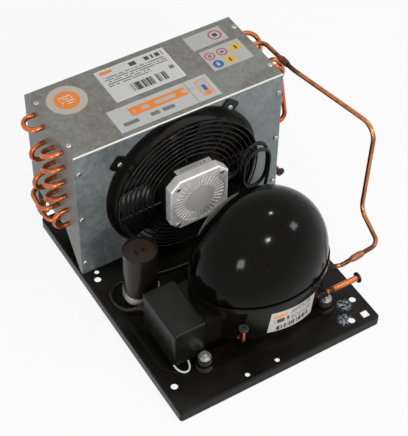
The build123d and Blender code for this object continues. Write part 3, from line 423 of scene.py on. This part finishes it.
@dataclass(frozen=True)
class CastAlloy:
    """Die-cast aluminium: pearly grain, darker hollows and handling stains."""

    name: str
    colour: Colour = (0.88, 0.87, 0.84, 1)
    hollow: Colour = (0.58, 0.57, 0.55, 1)
    pearl: Colour = (0.90, 0.90, 0.89, 1)
    rough: float = 0.26
    metal: float = 0.3
    relief: float = 0.00006

    def make(self) -> bpy.types.Material:
        """Build the casting's surface.

        Returns:
            The material.
        """
        s = Shader(self.name)
        grain = s.noise(scale=1300, detail=3)
        flow = s.noise(scale=70, detail=4, twist=1.2)
        colour = s.mix(s.rise(flow, 0.45, 0.75) * 0.4, self.colour, self.hollow)
        colour = s.mix(s.rise(grain, 0.5, 0.8) * 0.25, colour, self.pearl)
        normal = s.bump(grain + flow, self.relief)
        return s.finish(colour, self.rough + grain * 0.18, Metallic=self.metal, Normal=normal)


@dataclass(frozen=True)
class Moulding:
    """Moulded plastic or rubber with a spark-eroded grain and a matt bloom."""

    name: str
    colour: Colour = (0.012, 0.012, 0.0125, 1)
    rough: float = 0.4
    grain: float = 0.00004
    bloom: float = 0.15
    specular: float = 0.4
    bloom_tint: Colour = (0.14, 0.135, 0.13, 1)

    def make(self) -> bpy.types.Material:
        """Build the moulding's surface.

        Returns:
            The material.
        """
        s = Shader(self.name)
        pits = s.cells(1500, out="Distance")
        cloud = s.noise(scale=30, detail=4)
        haze = s.rise(cloud + s.up() * 0.12, 0.5, 0.8) * self.bloom
        colour = s.mix(haze, self.colour, self.bloom_tint)
        rough = self.rough + cloud * 0.15 + haze * 0.3
        normal = s.bump(pits + s.noise(scale=220, detail=2), self.grain)
        return s.finish(colour, rough, Normal=normal, Specular_IOR_Level=self.specular)


@dataclass(frozen=True)
class Stack:
    """Thin parallel layers on edge: laminations or a wound coil."""

    name: str
    axis: int
    pitch: float = 0.001
    colour: Colour = (0.30, 0.30, 0.31, 1)
    gap: Colour = (0.06, 0.06, 0.06, 1)
    metal: float = 0.9
    rough: float = 0.35

    def make(self) -> bpy.types.Material:
        """Build the layers.

        Returns:
            The material.
        """
        s = Shader(self.name)
        along = s.axes(s.point())[self.axis]
        line = s.rise(s.math("SINE", along * (2 * math.pi / self.pitch)), 0.55, 0.95)
        cloud = s.noise(scale=60, detail=4)
        colour = s.mix(line * 0.7, self.colour, self.gap)
        colour = s.mix(s.rise(cloud, 0.5, 0.8) * 0.3, colour, self.gap)
        normal = s.bump(line * -1 + cloud * 0.2, self.pitch * 0.25)
        return s.finish(colour, self.rough + cloud * 0.2, Metallic=self.metal, Normal=normal)


@dataclass(frozen=True)
class Stock:
    """Finishes that several sub-assemblies share."""

    copper: bpy.types.Material
    plated: bpy.types.Material
    steel: bpy.types.Material
    wire: bpy.types.Material


# ================================================================ stickers
@dataclass(frozen=True)
class Block:
    """One printed area in millimetres: a rectangle, lines of short bars, a disc or a ring."""

    u: float
    v: float
    half_u: float
    half_v: float
    colour: Colour
    rows: int = 0
    words: float = 0.0
    disc: bool = False
    hole: float = 0.0


ORANGE: Colour = (0.90, 0.24, 0.01, 1)
GREY_INK: Colour = (0.16, 0.16, 0.16, 1)
BLACK_INK: Colour = (0.02, 0.02, 0.02, 1)
RED: Colour = (0.55, 0.02, 0.03, 1)
BLUE: Colour = (0.02, 0.09, 0.38, 1)
YELLOW: Colour = (0.80, 0.48, 0.02, 1)
PAPER: Colour = (0.50, 0.49, 0.45, 1)
AGED_PAPER: Colour = (0.52, 0.52, 0.49, 1)
BANNER_PAPER: Colour = (0.56, 0.56, 0.53, 1)
RATING_EDGE: Colour = (0.80, 0.79, 0.76, 1)
RATING_PAPER: Colour = (0.66, 0.65, 0.62, 1)
SEAL_EDGE: Colour = (0.78, 0.42, 0.24, 1)
SEAL_TEXT: Colour = (0.85, 0.62, 0.45, 1)
SMALL_TEXT: Colour = (0.45, 0.45, 0.45, 1)

TOP_BLOCKS: tuple[Block, ...] = (
    # wide pale sticker with lines of bars
    Block(143, 91, 50, 31, RATING_EDGE),
    Block(141.8, 91.2, 48.5, 29.6, RATING_PAPER),
    Block(106, 116, 9, 2.6, ORANGE),
    Block(163, 114, 24, 3.6, BLACK_INK, words=3.1),
    Block(128, 98, 30, 10, GREY_INK, rows=5, words=2.3),
    Block(172, 102, 14, 6, GREY_INK, rows=3, words=2.1),
    Block(146, 74, 26, 7.5, BLACK_INK, words=0.7),
    Block(184, 84, 3.4, 3.4, GREY_INK),
    # round sticker
    Block(41.2, 95.6, 23.4, 23.4, SEAL_EDGE, disc=True, hole=21.6),
    Block(41.2, 95.6, 16.5, 16.5, ORANGE, disc=True),
    Block(41.2, 95.6, 9, 9, SEAL_TEXT, rows=4, words=2.6),
    # long sticker above the fan
    Block(142.2, 29.6, 71.5, 21.5, BANNER_PAPER),
    Block(137, 36, 40, 7.5, ORANGE),
    Block(146, 36, 44, 3.2, PAPER, words=9.5),
    Block(116, 20, 36, 3.2, GREY_INK, words=4.2),
    Block(180.5, 29.6, 0.4, 20, GREY_INK),
    Block(200, 30, 8, 15, ORANGE),
    Block(200, 30, 6.8, 13.8, PAPER),
    Block(200, 26, 2.6, 9, BLUE),
    Block(200, 20, 4.2, 4.2, ORANGE, disc=True),
    # small sticker at the back right
    Block(238, 108, 12, 9.5, SMALL_TEXT, rows=6, words=1.8),
    Block(263.5, 109, 9.2, 9.2, RED, disc=True, hole=7.2),
    Block(263.5, 109, 3.2, 3.2, BLACK_INK),
    # small sticker with plain coloured shapes
    Block(236, 76, 7.2, 7.2, RED, disc=True, hole=5.4),
    Block(254, 76, 7.2, 7.2, RED, disc=True, hole=5.4),
    Block(236, 76, 2.6, 2.6, GREY_INK),
    Block(254, 76, 2.6, 2.6, GREY_INK),
    Block(274, 75, 7, 6.5, YELLOW),
    Block(238, 58, 7.2, 7.2, BLUE, disc=True),
    Block(256, 58, 7, 6.5, YELLOW),
    Block(274, 75, 1.4, 3.6, BLACK_INK),
    Block(256, 58, 1.4, 3.6, BLACK_INK),
    Block(238, 58, 2.2, 3.4, PAPER),
)
MOTOR_BLOCKS: tuple[Block, ...] = (
    Block(-4, 0, 16, 2.4, GREY_INK, rows=2, words=2.0),
    Block(18, 0, 3.5, 2.0, BLACK_INK, words=1.4),
)
SHELL_BLOCKS: tuple[Block, ...] = (
    Block(-19, 12, 9, 2.4, ORANGE),
    Block(12, 11.5, 16, 3.4, BLACK_INK, rows=2, words=2.2),
    Block(-17, 3, 11, 3.6, BLACK_INK, words=3.4),
    Block(12, 1, 16, 4.6, GREY_INK, rows=3, words=2.4),
    Block(0, -11, 24, 4, BLACK_INK, words=0.9),
)


@dataclass(frozen=True)
class StickerPrint:
    """Paper and foil stickers with plain blocks and rules.

    The blocks on top are placed from the shroud's left front corner, the others from the
    middle of their own strip or plate.
    """

    name: str
    corner: Point
    motor: tuple[float, float]
    shell: Point
    line_foot: float = 0.22
    line_head: float = 0.70
    text_gaps: float = 0.22
    bar_gaps: float = 0.45
    paper_depth: float = 0.0006
    below_top: float = 0.01
    strip_half: tuple[float, float] = (30.0, 9.0)
    shell_depth: float = 0.03
    rough: float = 0.34
    relief: float = 0.00002

    def area(self, s: Shader, u: Sock, v: Sock, block: Block) -> Sock:
        """Mark one block in the plane of u and v.

        Args:
            s: the stickers' shader.
            u: place across, in millimetres.
            v: place up, in millimetres.
            block: the block.

        Returns:
            1 where it prints.
        """
        du, dv = abs(u - block.u), abs(v - block.v)
        if block.disc:
            reach = s.math("SQRT", du * du + dv * dv)
            return (reach < block.half_u) * (reach > block.hole)
        mask = (du < block.half_u) * (dv < block.half_v)
        tile, gaps = {1: block.v}, self.bar_gaps
        if block.rows:
            row = (v - (block.v - block.half_v)) / (2 * block.half_v / block.rows)
            within = s.math("FRACT", row)
            mask = mask * (within > self.line_foot) * (within < self.line_head)
            tile, gaps = {1: s.math("FLOOR", row), 2: block.u}, self.text_gaps
        if block.words:
            tile[0] = s.math("FLOOR", u / block.words)
            mask = mask * (s.dice(s.node("CombineXYZ", None, tile)) > gaps)
        return mask

    def make(self) -> bpy.types.Material:
        """Print every sticker.

        Returns:
            The material.
        """
        s = Shader(self.name)
        x, y, z = s.axes(s.point())
        left, front, top = self.corner
        across, along = (x - self.motor[0]) * PER_METRE, (y - self.motor[1]) * PER_METRE
        in_strip = (abs(across) < self.strip_half[0]) * (abs(along) < self.strip_half[1])
        from_shell = ((x - self.shell[0]) * PER_METRE, (z - self.shell[2]) * PER_METRE)
        from_corner = ((x - left) * PER_METRE, (y - front) * PER_METRE)
        prints = (
            (from_corner, z > top - self.paper_depth, TOP_BLOCKS),
            ((across, along), in_strip * (z < top - self.below_top), MOTOR_BLOCKS),
            (from_shell, y < self.shell[1] + self.shell_depth, SHELL_BLOCKS),
        )
        colour = s.mix(s.noise(scale=35, detail=4) * 0.3, PAPER, AGED_PAPER)
        for (u, v), where, blocks in prints:
            for block in blocks:
                colour = s.mix(self.area(s, u, v, block) * where, colour, block.colour)
        rough = self.rough + s.noise(scale=240, detail=3) * 0.18
        fibre = s.noise(scale=1200, detail=2) + s.noise(scale=60, detail=2) * 2
        return s.finish(colour, rough, Normal=s.bump(fibre, self.relief), Coat_Weight=0.25)


# ================================================================ helpers for pieces
def dress(material: bpy.types.Material, *nodes: str) -> None:
    """Give CAD nodes a material.

    Args:
        material: the finish.
        nodes: names of the nodes.
    """
    for name in nodes:
        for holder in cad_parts[name].material_slots:
            holder.material = material
        log.info("dressed %s with %s", name, material.name)


def new_piece(
    name: str, bm: bmesh.types.BMesh, material: bpy.types.Material, body: str,
) -> bpy.types.Object:
    """Turn a bmesh into a piece that rides on a body.

    Args:
        name: the piece's name.
        bm: its shape; freed here.
        material: its finish.
        body: the CAD body that it rides on.

    Returns:
        The new object.
    """
    bmesh.ops.remove_doubles(bm, verts=bm.verts, dist=1e-7)
    bmesh.ops.recalc_face_normals(bm, faces=bm.faces)
    mesh = bpy.data.meshes.new(name)
    bm.to_mesh(mesh)
    bm.free()
    mesh.materials.append(material)
    mesh.shade_smooth()
    piece = bpy.data.objects.new(name, mesh)
    bpy.context.scene.collection.objects.link(piece)
    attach(piece, body)
    log.info("built %s: %d faces", name, len(mesh.polygons))
    return piece


def spline_length(curve: bpy.types.Object) -> float:
    """Measure a curve's centreline.

    Args:
        curve: the curve object; left as it is.

    Returns:
        Its length in metres.
    """
    plain = curve.data.copy()
    plain.bevel_depth = 0.0
    probe = bpy.data.objects.new("probe", plain)
    bpy.context.scene.collection.objects.link(probe)
    bpy.context.view_layer.update()
    shown = probe.evaluated_get(bpy.context.evaluated_depsgraph_get())
    mesh = bpy.data.meshes.new_from_object(shown)
    places = [vert.co for vert in mesh.vertices]
    total = sum((places[a] - places[b]).length for a, b in (edge.vertices for edge in mesh.edges))
    bpy.data.objects.remove(probe)
    return total


# ================================================================ cords
FAN_CABLE: tuple[Point, ...] = (
    (47.2, 87.75, 97.85), (62, 87.75, 97.85), (71, 87.6, 104), (76, 87.4, 116), (77.9, 87.1, 130),
    (88.5, 86.9, 140.6), (103.5, 86.6, 140.6), (114.1, 86.3, 130), (116.5, 86, 104),
    (114.1, 85.4, 79), (103.5, 84.6, 67.4), (88.5, 83.8, 67.4), (77.9, 82.9, 78),
    (75.5, 81.2, 102), (78.9, 80.3, 124), (89.5, 80, 134.6), (104.5, 79.8, 134.6),
    (115.1, 79.5, 124), (114.5, 79, 100), (110.5, 77.5, 75), (105, 75.5, 52), (100, 73, 32),
    (93, 70.5, 15), (80, 68, 5.5), (60, 65.5, 3.1), (34, 62, 2.9), (4, 59.5, 2.8),
    (-26, 60, 2.9), (-56, 63.5, 2.8), (-84, 70.5, 3), (-108, 76.5, 3.9), (-126, 72, 4.6),
    (-135, 56, 4.7), (-133.5, 40, 6.5), (-130, 27, 11.5), (-125, 18.5, 18), (-118.5, 12, 24),
    (-114.5, 5.5, 27), (-114.5, -1.4, 27),
)
EARTH_LEAD: tuple[Point, ...] = (
    (-119, -73, 12), (-119, -73, 7.6), (-118.7, -76.3, 4.1), (-117.2, -82.5, 2.9),
    (-112.5, -87.9, 2.0), (-106, -87.9, 1.5), (-101.5, -83.4, 1.6), (-100, -77, 3.2),
    (-99.5, -73.5, 7), (-99.5, -73.5, 12),
)


@dataclass(frozen=True)
class Lead:
    """A cable drawn as a smooth line through given points, all in millimetres."""

    name: str
    points: tuple[Point, ...]
    diameter: float
    steps: int = 12
    roundness: int = 5

    def line(self, material: bpy.types.Material) -> bpy.types.Curve:
        """Draw the cable's line and give it its thickness.

        Args:
            material: its jacket.

        Returns:
            The curve.
        """
        data = bpy.data.curves.new(self.name, "CURVE")
        data.dimensions = "3D"
        data.resolution_u = self.steps
        data.bevel_depth = self.diameter / 2 * MM
        data.bevel_resolution = self.roundness
        data.use_fill_caps = True
        line = data.splines.new("NURBS")
        line.points.add(len(self.points) - 1)
        for knot, place in zip(line.points, self.points):
            knot.co = (*(value * MM for value in place), 1.0)
        line.order_u = 3
        line.use_endpoint_u = True
        data.materials.append(material)
        return data

    def build(self, material: bpy.types.Material, slot: str, node: str) -> None:
        """Args:
            material: its jacket.
            slot: the record's material slot; not used.
            node: the CAD node that it stands for.
        """
        piece = bpy.data.objects.new(self.name, self.line(material))
        bpy.context.scene.collection.objects.link(piece)
        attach(piece, "unit")
        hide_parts(node)
        length = spline_length(piece)
        log.info("laid %s, %.3f m", self.name, length)


# ================================================================ stage
@dataclass(frozen=True)
class Lamp:
    """Square soft lamp: its place, its side in metres and its watts."""

    name: str
    place: Point
    side: float
    power: float

    def hang(self, target: Point) -> None:
        """Hang the lamp so that it faces a target.

        Args:
            target: the point that it faces.
        """
        lamp = bpy.data.lights.new(self.name, "AREA")
        lamp.energy = self.power
        lamp.size = self.side
        holder = bpy.data.objects.new(self.name, lamp)
        holder.location = self.place
        sight = Vector(target) - Vector(self.place)
        holder.rotation_euler = sight.to_track_quat("-Z", "Y").to_euler()
        bpy.context.scene.collection.objects.link(holder)


@dataclass(frozen=True)
class Stage:
    """Pale floor, soft lights and the camera."""

    floor_level: float
    floor_reach: float = 6.0
    floor_colour: Colour = (0.80, 0.80, 0.80, 1)
    floor_glow: float = 0.9
    sky_colour: Colour = (0.95, 0.97, 1.0, 1)
    sky_strength: float = 0.42
    target: Point = (0, 0.05, 0.08)
    lamps: tuple[Lamp, ...] = (
        Lamp("front_left", (-1.14, -1.24, 0.34), 0.30, 7),
        Lamp("front", (0.02, -1.5, 1.08), 0.16, 8),
        Lamp("above", (0.6, -0.3, 1.66), 0.10, 6),
        Lamp("right", (1.5, -1.2, 0.9), 0.35, 7),
    )
    eye: Point = (-0.6097, -0.9198, 1.3473)
    azimuth: float = -32.08
    elevation: float = 47.68
    roll: float = 1.07
    lens: float = 111.34
    sensor: float = 36.0

    def build(self) -> None:
        """Make the floor, the lights, the world and the camera."""
        self.floor()
        for lamp in self.lamps:
            lamp.hang(self.target)
        self.world()
        self.camera()

    def floor(self) -> None:
        """Lay a floor that shows nearly white but keeps a soft shadow."""
        bm = bmesh.new()
        bmesh.ops.create_grid(bm, x_segments=1, y_segments=1, size=self.floor_reach)
        bmesh.ops.translate(bm, verts=bm.verts, vec=(0, 0, self.floor_level))
        mesh = bpy.data.meshes.new("floor")
        bm.to_mesh(mesh)
        bm.free()
        s = Shader("pale_floor")
        plain = s.node("BsdfPrincipled", None, {"Base Color": self.floor_colour, "Roughness": 0.8})
        glow = s.node("Emission", None, {"Color": (1, 1, 1, 1), "Strength": 1.0})
        shown = {0: s.seen() * self.floor_glow, 1: plain, 2: glow}
        s.close("OutputMaterial", s.node("MixShader", None, shown))
        mesh.materials.append(s.material)
        floor = bpy.data.objects.new("floor", mesh)
        bpy.context.scene.collection.objects.link(floor)

    def world(self) -> None:
        """Show a white sky to the eye and to mirrors, and light the unit with softer grey."""
        world = bpy.data.worlds.new("studio")
        world.use_nodes = True
        sky = Graph(world.node_tree)
        grey = {"Color": self.sky_colour, "Strength": self.sky_strength}
        white = {"Color": (1, 1, 1, 1), "Strength": 1.0}
        lit, bright = (sky.node("Background", None, inputs) for inputs in (grey, white))
        sky.close("OutputWorld", sky.node("MixShader", None, {0: sky.seen(), 1: lit, 2: bright}))
        bpy.context.scene.world = world

    def camera(self) -> None:
        """Set the camera at the unit's front left, looking down."""
        az, el, roll = (math.radians(value) for value in (self.azimuth, self.elevation, self.roll))
        level = math.cos(el)
        back = Vector((math.sin(az) * level, -math.cos(az) * level, math.sin(el)))
        right = Vector((math.cos(az), math.sin(az), 0))
        up = back.cross(right)
        tilted = math.cos(roll) * right + math.sin(roll) * up
        upright = math.cos(roll) * up - math.sin(roll) * right
        turn = Matrix((tilted, upright, back)).transposed().to_4x4()
        data = bpy.data.cameras.new("camera")
        data.sensor_fit = "VERTICAL"
        data.sensor_height = self.sensor
        data.lens = self.lens
        camera = bpy.data.objects.new("camera", data)
        camera.matrix_world = Matrix.Translation(self.eye) @ turn
        bpy.context.scene.collection.objects.link(camera)
        bpy.context.scene.camera = camera


# ================================================================ sub-assemblies
@dataclass(frozen=True)
class BaseTray:
    """The pressed tray and the mounts that stand on it."""

    handling_marks: tuple[Point, ...] = ((0.105, -0.121, 0.0), (0.118, -0.100, 0.0))

    def dress(self, stock: Stock) -> None:
        """Paint the tray and plate the mounts.

        Args:
            stock: the shared finishes.
        """
        paint = BlackPaint(
            "tray_paint", (0.006, 0.0056, 0.005, 1), rough=0.24, peel=0.00003, dust=0.12,
            specular=0.12, marks=self.handling_marks,
        )
        dress(paint.make(), "tray")
        dress(stock.plated, "mount_sleeves", "mount_bolts", "mount_nuts")
        rubber = Moulding(
            "mount_rubber", (0.013, 0.012, 0.012, 1), rough=0.62, grain=0.00008, bloom=0.3,
        )
        dress(rubber.make(), "mount_grommets")


@dataclass(frozen=True)
class CondenserPack:
    """Shroud, end plates, coil, fins and stickers."""

    fin_pitch: float = 0.0021
    fin_thickness: float = 0.00016
    ripple: float = 0.0007
    ripples: int = 26
    strip_shift: float = 0.0044
    plate_shift: float = 0.0074
    plate_height: float = 0.046

    def dress(self, stock: Stock) -> None:
        """Finish the sheet metal, the copper and the stickers.

        Args:
            stock: the shared finishes.
        """
        low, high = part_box("condenser_shroud")
        # shroud zinc: painted highlight on its top front fold and painted top light on faces that
        # point up
        dress(ZincSheet("shroud_zinc", fold_y=low.y, fold_z=high.z).make(), "condenser_shroud")
        # end plates: the second colour is the painted top-light tint for faces that point up
        plates = ZincSheet(
            "end_plate_zinc", (0.16, 0.165, 0.15, 1), (0.30, 0.29, 0.26, 1), rough=0.42,
        )
        dress(plates.make(), "coil_end_plate_left", "coil_end_plate_right")
        dress(stock.copper, "condenser_tubes", "return_bends_left", "return_bends_right")
        dress(stock.plated, "pan_head_screws")
        motor_low, motor_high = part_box("fan_motor_cover")
        motor = ((motor_low.x + motor_high.x) / 2, motor_high.y + self.strip_shift)
        shell_low, shell_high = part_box("compressor_lower_shell")
        middle = (shell_low.x + shell_high.x) / 2
        shell = (middle + self.plate_shift, shell_low.y, self.plate_height)
        dress(StickerPrint("sticker_print", (low.x, low.y, high.z), motor, shell).make(), "labels")

    def fin(self, depth: float, height: float) -> bmesh.types.BMesh:
        """Fold one corrugated fin.

        Args:
            depth: its size along y.
            height: its size along z.

        Returns:
            The fin's sheet, centred, in the yz plane.
        """
        bm = bmesh.new()
        bmesh.ops.create_grid(bm, x_segments=self.ripples, y_segments=1, size=0.5)
        bmesh.ops.scale(bm, verts=bm.verts, vec=(depth, height, 1))
        upright = Matrix(((0, 0, 1, 0), (1, 0, 0, 0), (0, 1, 0, 0), (0, 0, 0, 1)))
        bmesh.ops.transform(bm, matrix=upright, verts=bm.verts)
        ranks = sorted({round(vert.co.y, 6) for vert in bm.verts})
        for vert in bm.verts:
            side = 1 if ranks.index(round(vert.co.y, 6)) % 2 else -1
            vert.co.x += self.ripple * side / 2
        return bm

    def build(self) -> None:
        """Replace the coarse fin stack with close corrugated fins."""
        low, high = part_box("condenser_fins")
        bm = self.fin(high.y - low.y, high.z - low.z)
        first_place = (low.x + self.ripple, (low.y + high.y) / 2, (low.z + high.z) / 2)
        bmesh.ops.translate(bm, verts=bm.verts, vec=first_place)
        bmesh.ops.solidify(bm, geom=bm.faces, thickness=self.fin_thickness)
        first = list(bm.verts) + list(bm.edges) + list(bm.faces)
        count = int((high.x - low.x - 2 * self.ripple) / self.fin_pitch)
        for k in range(1, count + 1):
            copied = bmesh.ops.duplicate(bm, geom=first)["geom"]
            verts = [part for part in copied if isinstance(part, bmesh.types.BMVert)]
            bmesh.ops.translate(bm, verts=verts, vec=(k * self.fin_pitch, 0, 0))
        foil = DrawnMetal(
            "fin_foil", (0.62, 0.63, 0.64, 1), (0.30, 0.30, 0.30, 1), rough=0.3,
            grain=Grain.ALONG_Z, amount=0.3,
        )
        fins = new_piece("corrugated_fins", bm, foil.make(), "unit")
        fins.data.shade_flat()
        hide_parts("condenser_fins")


@dataclass(frozen=True)
class FanUnit:
    """Ring, guard, blades and motor, with the motor's cable."""

    cable_diameter: float = 5.0

    def dress(self, stock: Stock) -> None:
        """Finish the fan and the inside of its motor.

        Args:
            stock: the shared finishes.
        """
        ring = BlackPaint("fan_ring_paint", rough=0.18, dust=0.1, specular=0.2)
        dress(ring.make(), "fan_ring", "fan_guard")
        blade = BlackPaint(
            "blade_paint", (0.008, 0.008, 0.0085, 1), rough=0.24, peel=0.00003, dust=0.2,
            specular=0.2,
        )
        dress(blade.make(), "fan_blade")
        dress(CastAlloy("motor_casting").make(), "fan_motor_cover")
        housing = BlackPaint("motor_housing_paint", rough=0.3, peel=0.00003, dust=0.1)
        dress(housing.make(), "fan_motor_housing")
        dress(stock.steel, "fan_motor_bearings", "fan_shaft", "fan_blade_nut")
        plates = Stack("motor_laminations", axis=1)
        dress(plates.make(), "fan_motor_stator", "fan_motor_rotor")
        dress(stock.wire, "fan_motor_winding")
        dress(Moulding("gland_rubber", rough=0.55).make(), "fan_motor_gland")

    def build(self) -> None:
        """Lay the cable from the motor round to the terminal cover."""
        jacket = Moulding(
            "cable_jacket", (0.006, 0.006, 0.006, 1), rough=0.3, grain=0.00002, bloom=0.1,
            specular=0.25,
        )
        cable = Lead("motor_cable", FAN_CABLE, self.cable_diameter)
        cable.build(jacket.make(), "rubber", "fan_cable")


@dataclass(frozen=True)
class Compressor:
    """Hermetic compressor: shells, welded seam, feet and the works inside."""

    bead_radius: float = 0.0013
    bead_sides: int = 10
    bead_ripples: int = 150
    bead_crest: float = 0.16
    bead_waver: float = 0.08
    bead_wavers: int = 17
    bead_most: float = 1.1
    bead_sunk: float = 0.9

    def dress(self, stock: Stock) -> None:
        """Finish the shells and the works.

        Args:
            stock: the shared finishes.
        """
        gloss = BlackPaint(
            "shell_gloss", (0.0022, 0.0018, 0.0015, 1), rough=0.07, peel=0.000006, dust=0.02,
            specular=0.09,
        )
        dress(gloss.make(), "compressor_upper_shell")
        lower = BlackPaint(
            "lower_shell_gloss", (0.004, 0.0034, 0.003, 1), rough=0.16, dust=0.05, specular=0.13,
        )
        dress(lower.make(), "compressor_lower_shell", "compressor_feet", "port_sockets")
        iron = DrawnMetal(
            "cast_iron", (0.20, 0.20, 0.20, 1), (0.09, 0.085, 0.08, 1), rough=0.45, amount=0.6,
            fineness=500,
        )
        dress(iron.make(), "compressor_cylinder_block", "compressor_cylinder_head")
        dress(stock.steel, "compressor_crankshaft", "compressor_piston", "compressor_wrist_pin")
        dress(stock.steel, "compressor_valve_plate", "compressor_connecting_rod")
        dress(stock.steel, "compressor_springs")
        dress(stock.plated, "compressor_stator_bolts", "compressor_spring_seats")
        plates = Stack("compressor_laminations", axis=2)
        dress(plates.make(), "compressor_stator", "compressor_rotor")
        dress(stock.wire, "compressor_windings")

    def build(self) -> None:
        """Lay the rippled weld bead round the seam."""
        low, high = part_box("compressor_lower_shell")
        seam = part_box("compressor_upper_shell")[0].z
        across = high.x - low.x
        reach = across / 2 - self.bead_radius * self.bead_sunk
        bm = bmesh.new()
        bmesh.ops.create_circle(bm, segments=self.bead_sides, radius=self.bead_radius)
        upright = Matrix.Rotation(math.pi / 2, 3, "X")
        bmesh.ops.rotate(bm, verts=bm.verts, cent=(0, 0, 0), matrix=upright)
        bmesh.ops.translate(bm, verts=bm.verts, vec=(reach, 0, 0))
        bmesh.ops.spin(
            bm, geom=list(bm.verts) + list(bm.edges), cent=(0, 0, 0), axis=(0, 0, 1),
            angle=2 * math.pi, steps=self.bead_ripples * 2, use_merge=True,
        )
        for vert in bm.verts:
            angle = math.atan2(vert.co.y, vert.co.x)
            crest = self.bead_crest * math.cos(angle * self.bead_ripples)
            waver = self.bead_waver * math.sin(angle * self.bead_wavers)
            core = Vector((math.cos(angle), math.sin(angle), 0)) * reach
            vert.co = core + (vert.co - core) * min(1 + crest + waver, self.bead_most)
        centre = ((low.x + high.x) / 2, (low.y + high.y) / 2, seam)
        bmesh.ops.scale(bm, verts=bm.verts, vec=(1, (high.y - low.y) / across, 1))
        bmesh.ops.translate(bm, verts=bm.verts, vec=centre)
        paint = BlackPaint(
            "seam_paint", (0.007, 0.006, 0.0055, 1), peel=0.00005, dust=0.15, specular=0.25,
        )
        new_piece("seam_weld_bead", bm, paint.make(), "unit")


@dataclass(frozen=True)
class Electrics:
    """Terminal, relay, cover and capacitor, with the white lead loop."""

    lead_diameter: float = 2.4

    def dress(self, stock: Stock) -> None:
        """Finish the electrical pieces.

        Args:
            stock: the shared finishes.
        """
        cover = Moulding(
            "cover_plastic", (0.006, 0.0058, 0.0052, 1), rough=0.2, grain=0.00002, bloom=0.06,
            specular=0.2,
        )
        dress(cover.make(), "terminal_cover")
        dress(Moulding("relay_plastic", (0.02, 0.02, 0.02, 1), rough=0.5).make(), "start_relay")
        dress(stock.plated, "hermetic_terminal", "capacitor_clip")
        board = Moulding(
            "capacitor_board", (0.022, 0.012, 0.006, 1), rough=0.22, grain=0.00002, bloom=0.05,
            specular=0.3,
        )
        dress(board.make(), "capacitor_terminals")
        dress(BlackPaint("bracket_paint", dust=0.2).make(), "terminal_bracket")
        can = Moulding(
            "capacitor_can", (0.009, 0.007, 0.0045, 1), rough=0.16, grain=0.00002, bloom=0.04,
            specular=0.2,
        )
        dress(can.make(), "start_capacitor")

    def build(self) -> None:
        """Lay the white lead loop in front of the terminal cover."""
        white = Moulding("white_jacket", (0.72, 0.72, 0.70, 1), grain=0.00002, bloom=0.0)
        loop = Lead("earth_wire", EARTH_LEAD, self.lead_diameter)
        loop.build(white.make(), "white_jacket", "earth_lead")


@dataclass(frozen=True)
class Piping:
    """Discharge line, outlet, stubs and their plugs."""

    upper_collar_above: float = 0.13
    shell_joint: Point = (0.02, 0.004, 0.006)
    line_heat: float = 0.06
    stub_heat_and_shade_reach: float = 0.016
    stub_heat_and_shade_step: float = 0.008

    def joints(self) -> tuple[Point, ...]:
        """Find where the discharge line was brazed.

        Returns:
            The middles of its two collars and its joint at the shell.
        """
        places = [vert.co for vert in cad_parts["discharge_swages"].data.vertices]
        spots = []
        for upper in (True, False):
            collar = [place for place in places if (place.z > self.upper_collar_above) == upper]
            spots.append(tuple(sum(collar, Vector()) / len(collar)))
        low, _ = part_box("discharge_line")
        spots.append(tuple(low + Vector(self.shell_joint)))
        return tuple(spots)

    def dress(self, stock: Stock) -> None:
        """Finish the copper with its brazing heat, painted shade at the suction stub's root, and
        the plugs.

        Args:
            stock: the shared finishes.
        """
        line = DrawnMetal(
            "discharge_copper", (0.50, 0.185, 0.075, 1), (0.17, 0.07, 0.03, 1), rough=0.22,
            grain=Grain.ALONG_Z, amount=0.8, fineness=700, heat_and_shade_spots=self.joints(),
            heat_and_shade_reach=self.line_heat,
        )
        dress(line.make(), "discharge_line")
        burnt = DrawnMetal(
            "brazed_copper", (0.30, 0.12, 0.07, 1), (0.05, 0.03, 0.02, 1), rough=0.4,
            amount=0.8, fineness=600,
        )
        dress(burnt.make(), "discharge_swages")
        dress(stock.copper, "liquid_outlet", "process_stub")
        low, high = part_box("suction_stub")
        y, z = (low.y + high.y) / 2, (low.z + high.z) / 2
        # darker spots stepping out from the stub's root at the shell: brazing heat and the painted
        # shadow of the shell
        stub = DrawnMetal(
            "stub_copper", (0.62, 0.2, 0.08, 1), (0.25, 0.07, 0.03, 1), rough=0.22,
            heat_and_shade_spots=tuple((low.x + k * self.stub_heat_and_shade_step, y, z) for k in range(4)),
            heat_and_shade_reach=self.stub_heat_and_shade_reach,
        )
        dress(stub.make(), "suction_stub")
        plug = Moulding(
            "plug_rubber", (0.011, 0.011, 0.011, 1), rough=0.5, grain=0.00005, bloom=0.2,
        )
        dress(plug.make(), "suction_plug", "process_plug", "liquid_plug")


# ================================================================ the whole unit
def shared_finishes() -> Stock:
    """Make the finishes that several sub-assemblies share.

    Returns:
        Copper, zinc plate, ground steel and winding wire.
    """
    copper = DrawnMetal(
        "coil_copper", (0.60, 0.17, 0.06, 1), (0.26, 0.06, 0.02, 1), rough=0.2, amount=0.75,
        fineness=500,
    )
    plated = DrawnMetal("zinc_plate", (0.55, 0.55, 0.54, 1), (0.28, 0.27, 0.24, 1), rough=0.28)
    steel = DrawnMetal(
        "ground_steel", (0.45, 0.45, 0.45, 1), (0.22, 0.21, 0.20, 1), rough=0.22,
        grain=Grain.ALONG_X,
    )
    wire = Stack(
        "winding_enamel", axis=2, pitch=0.0009, colour=(0.42, 0.13, 0.05, 1),
        gap=(0.10, 0.03, 0.015, 1), metal=0.6, rough=0.28,
    )
    return Stock(copper.make(), plated.make(), steel.make(), wire.make())


def main() -> None:
    """Build and dress every sub-assembly in order."""
    logging.basicConfig(level=logging.INFO, format="%(message)s")
    Stage(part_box("tray")[0].z).build()
    stock = shared_finishes()
    BaseTray().dress(stock)
    for assembly in (CondenserPack(), FanUnit(), Compressor(), Electrics()):
        assembly.dress(stock)
        assembly.build()
    Piping().dress(stock)
    scene = bpy.context.scene
    scene.view_settings.view_transform = "Standard"


if __name__ == "__main__":
    main()
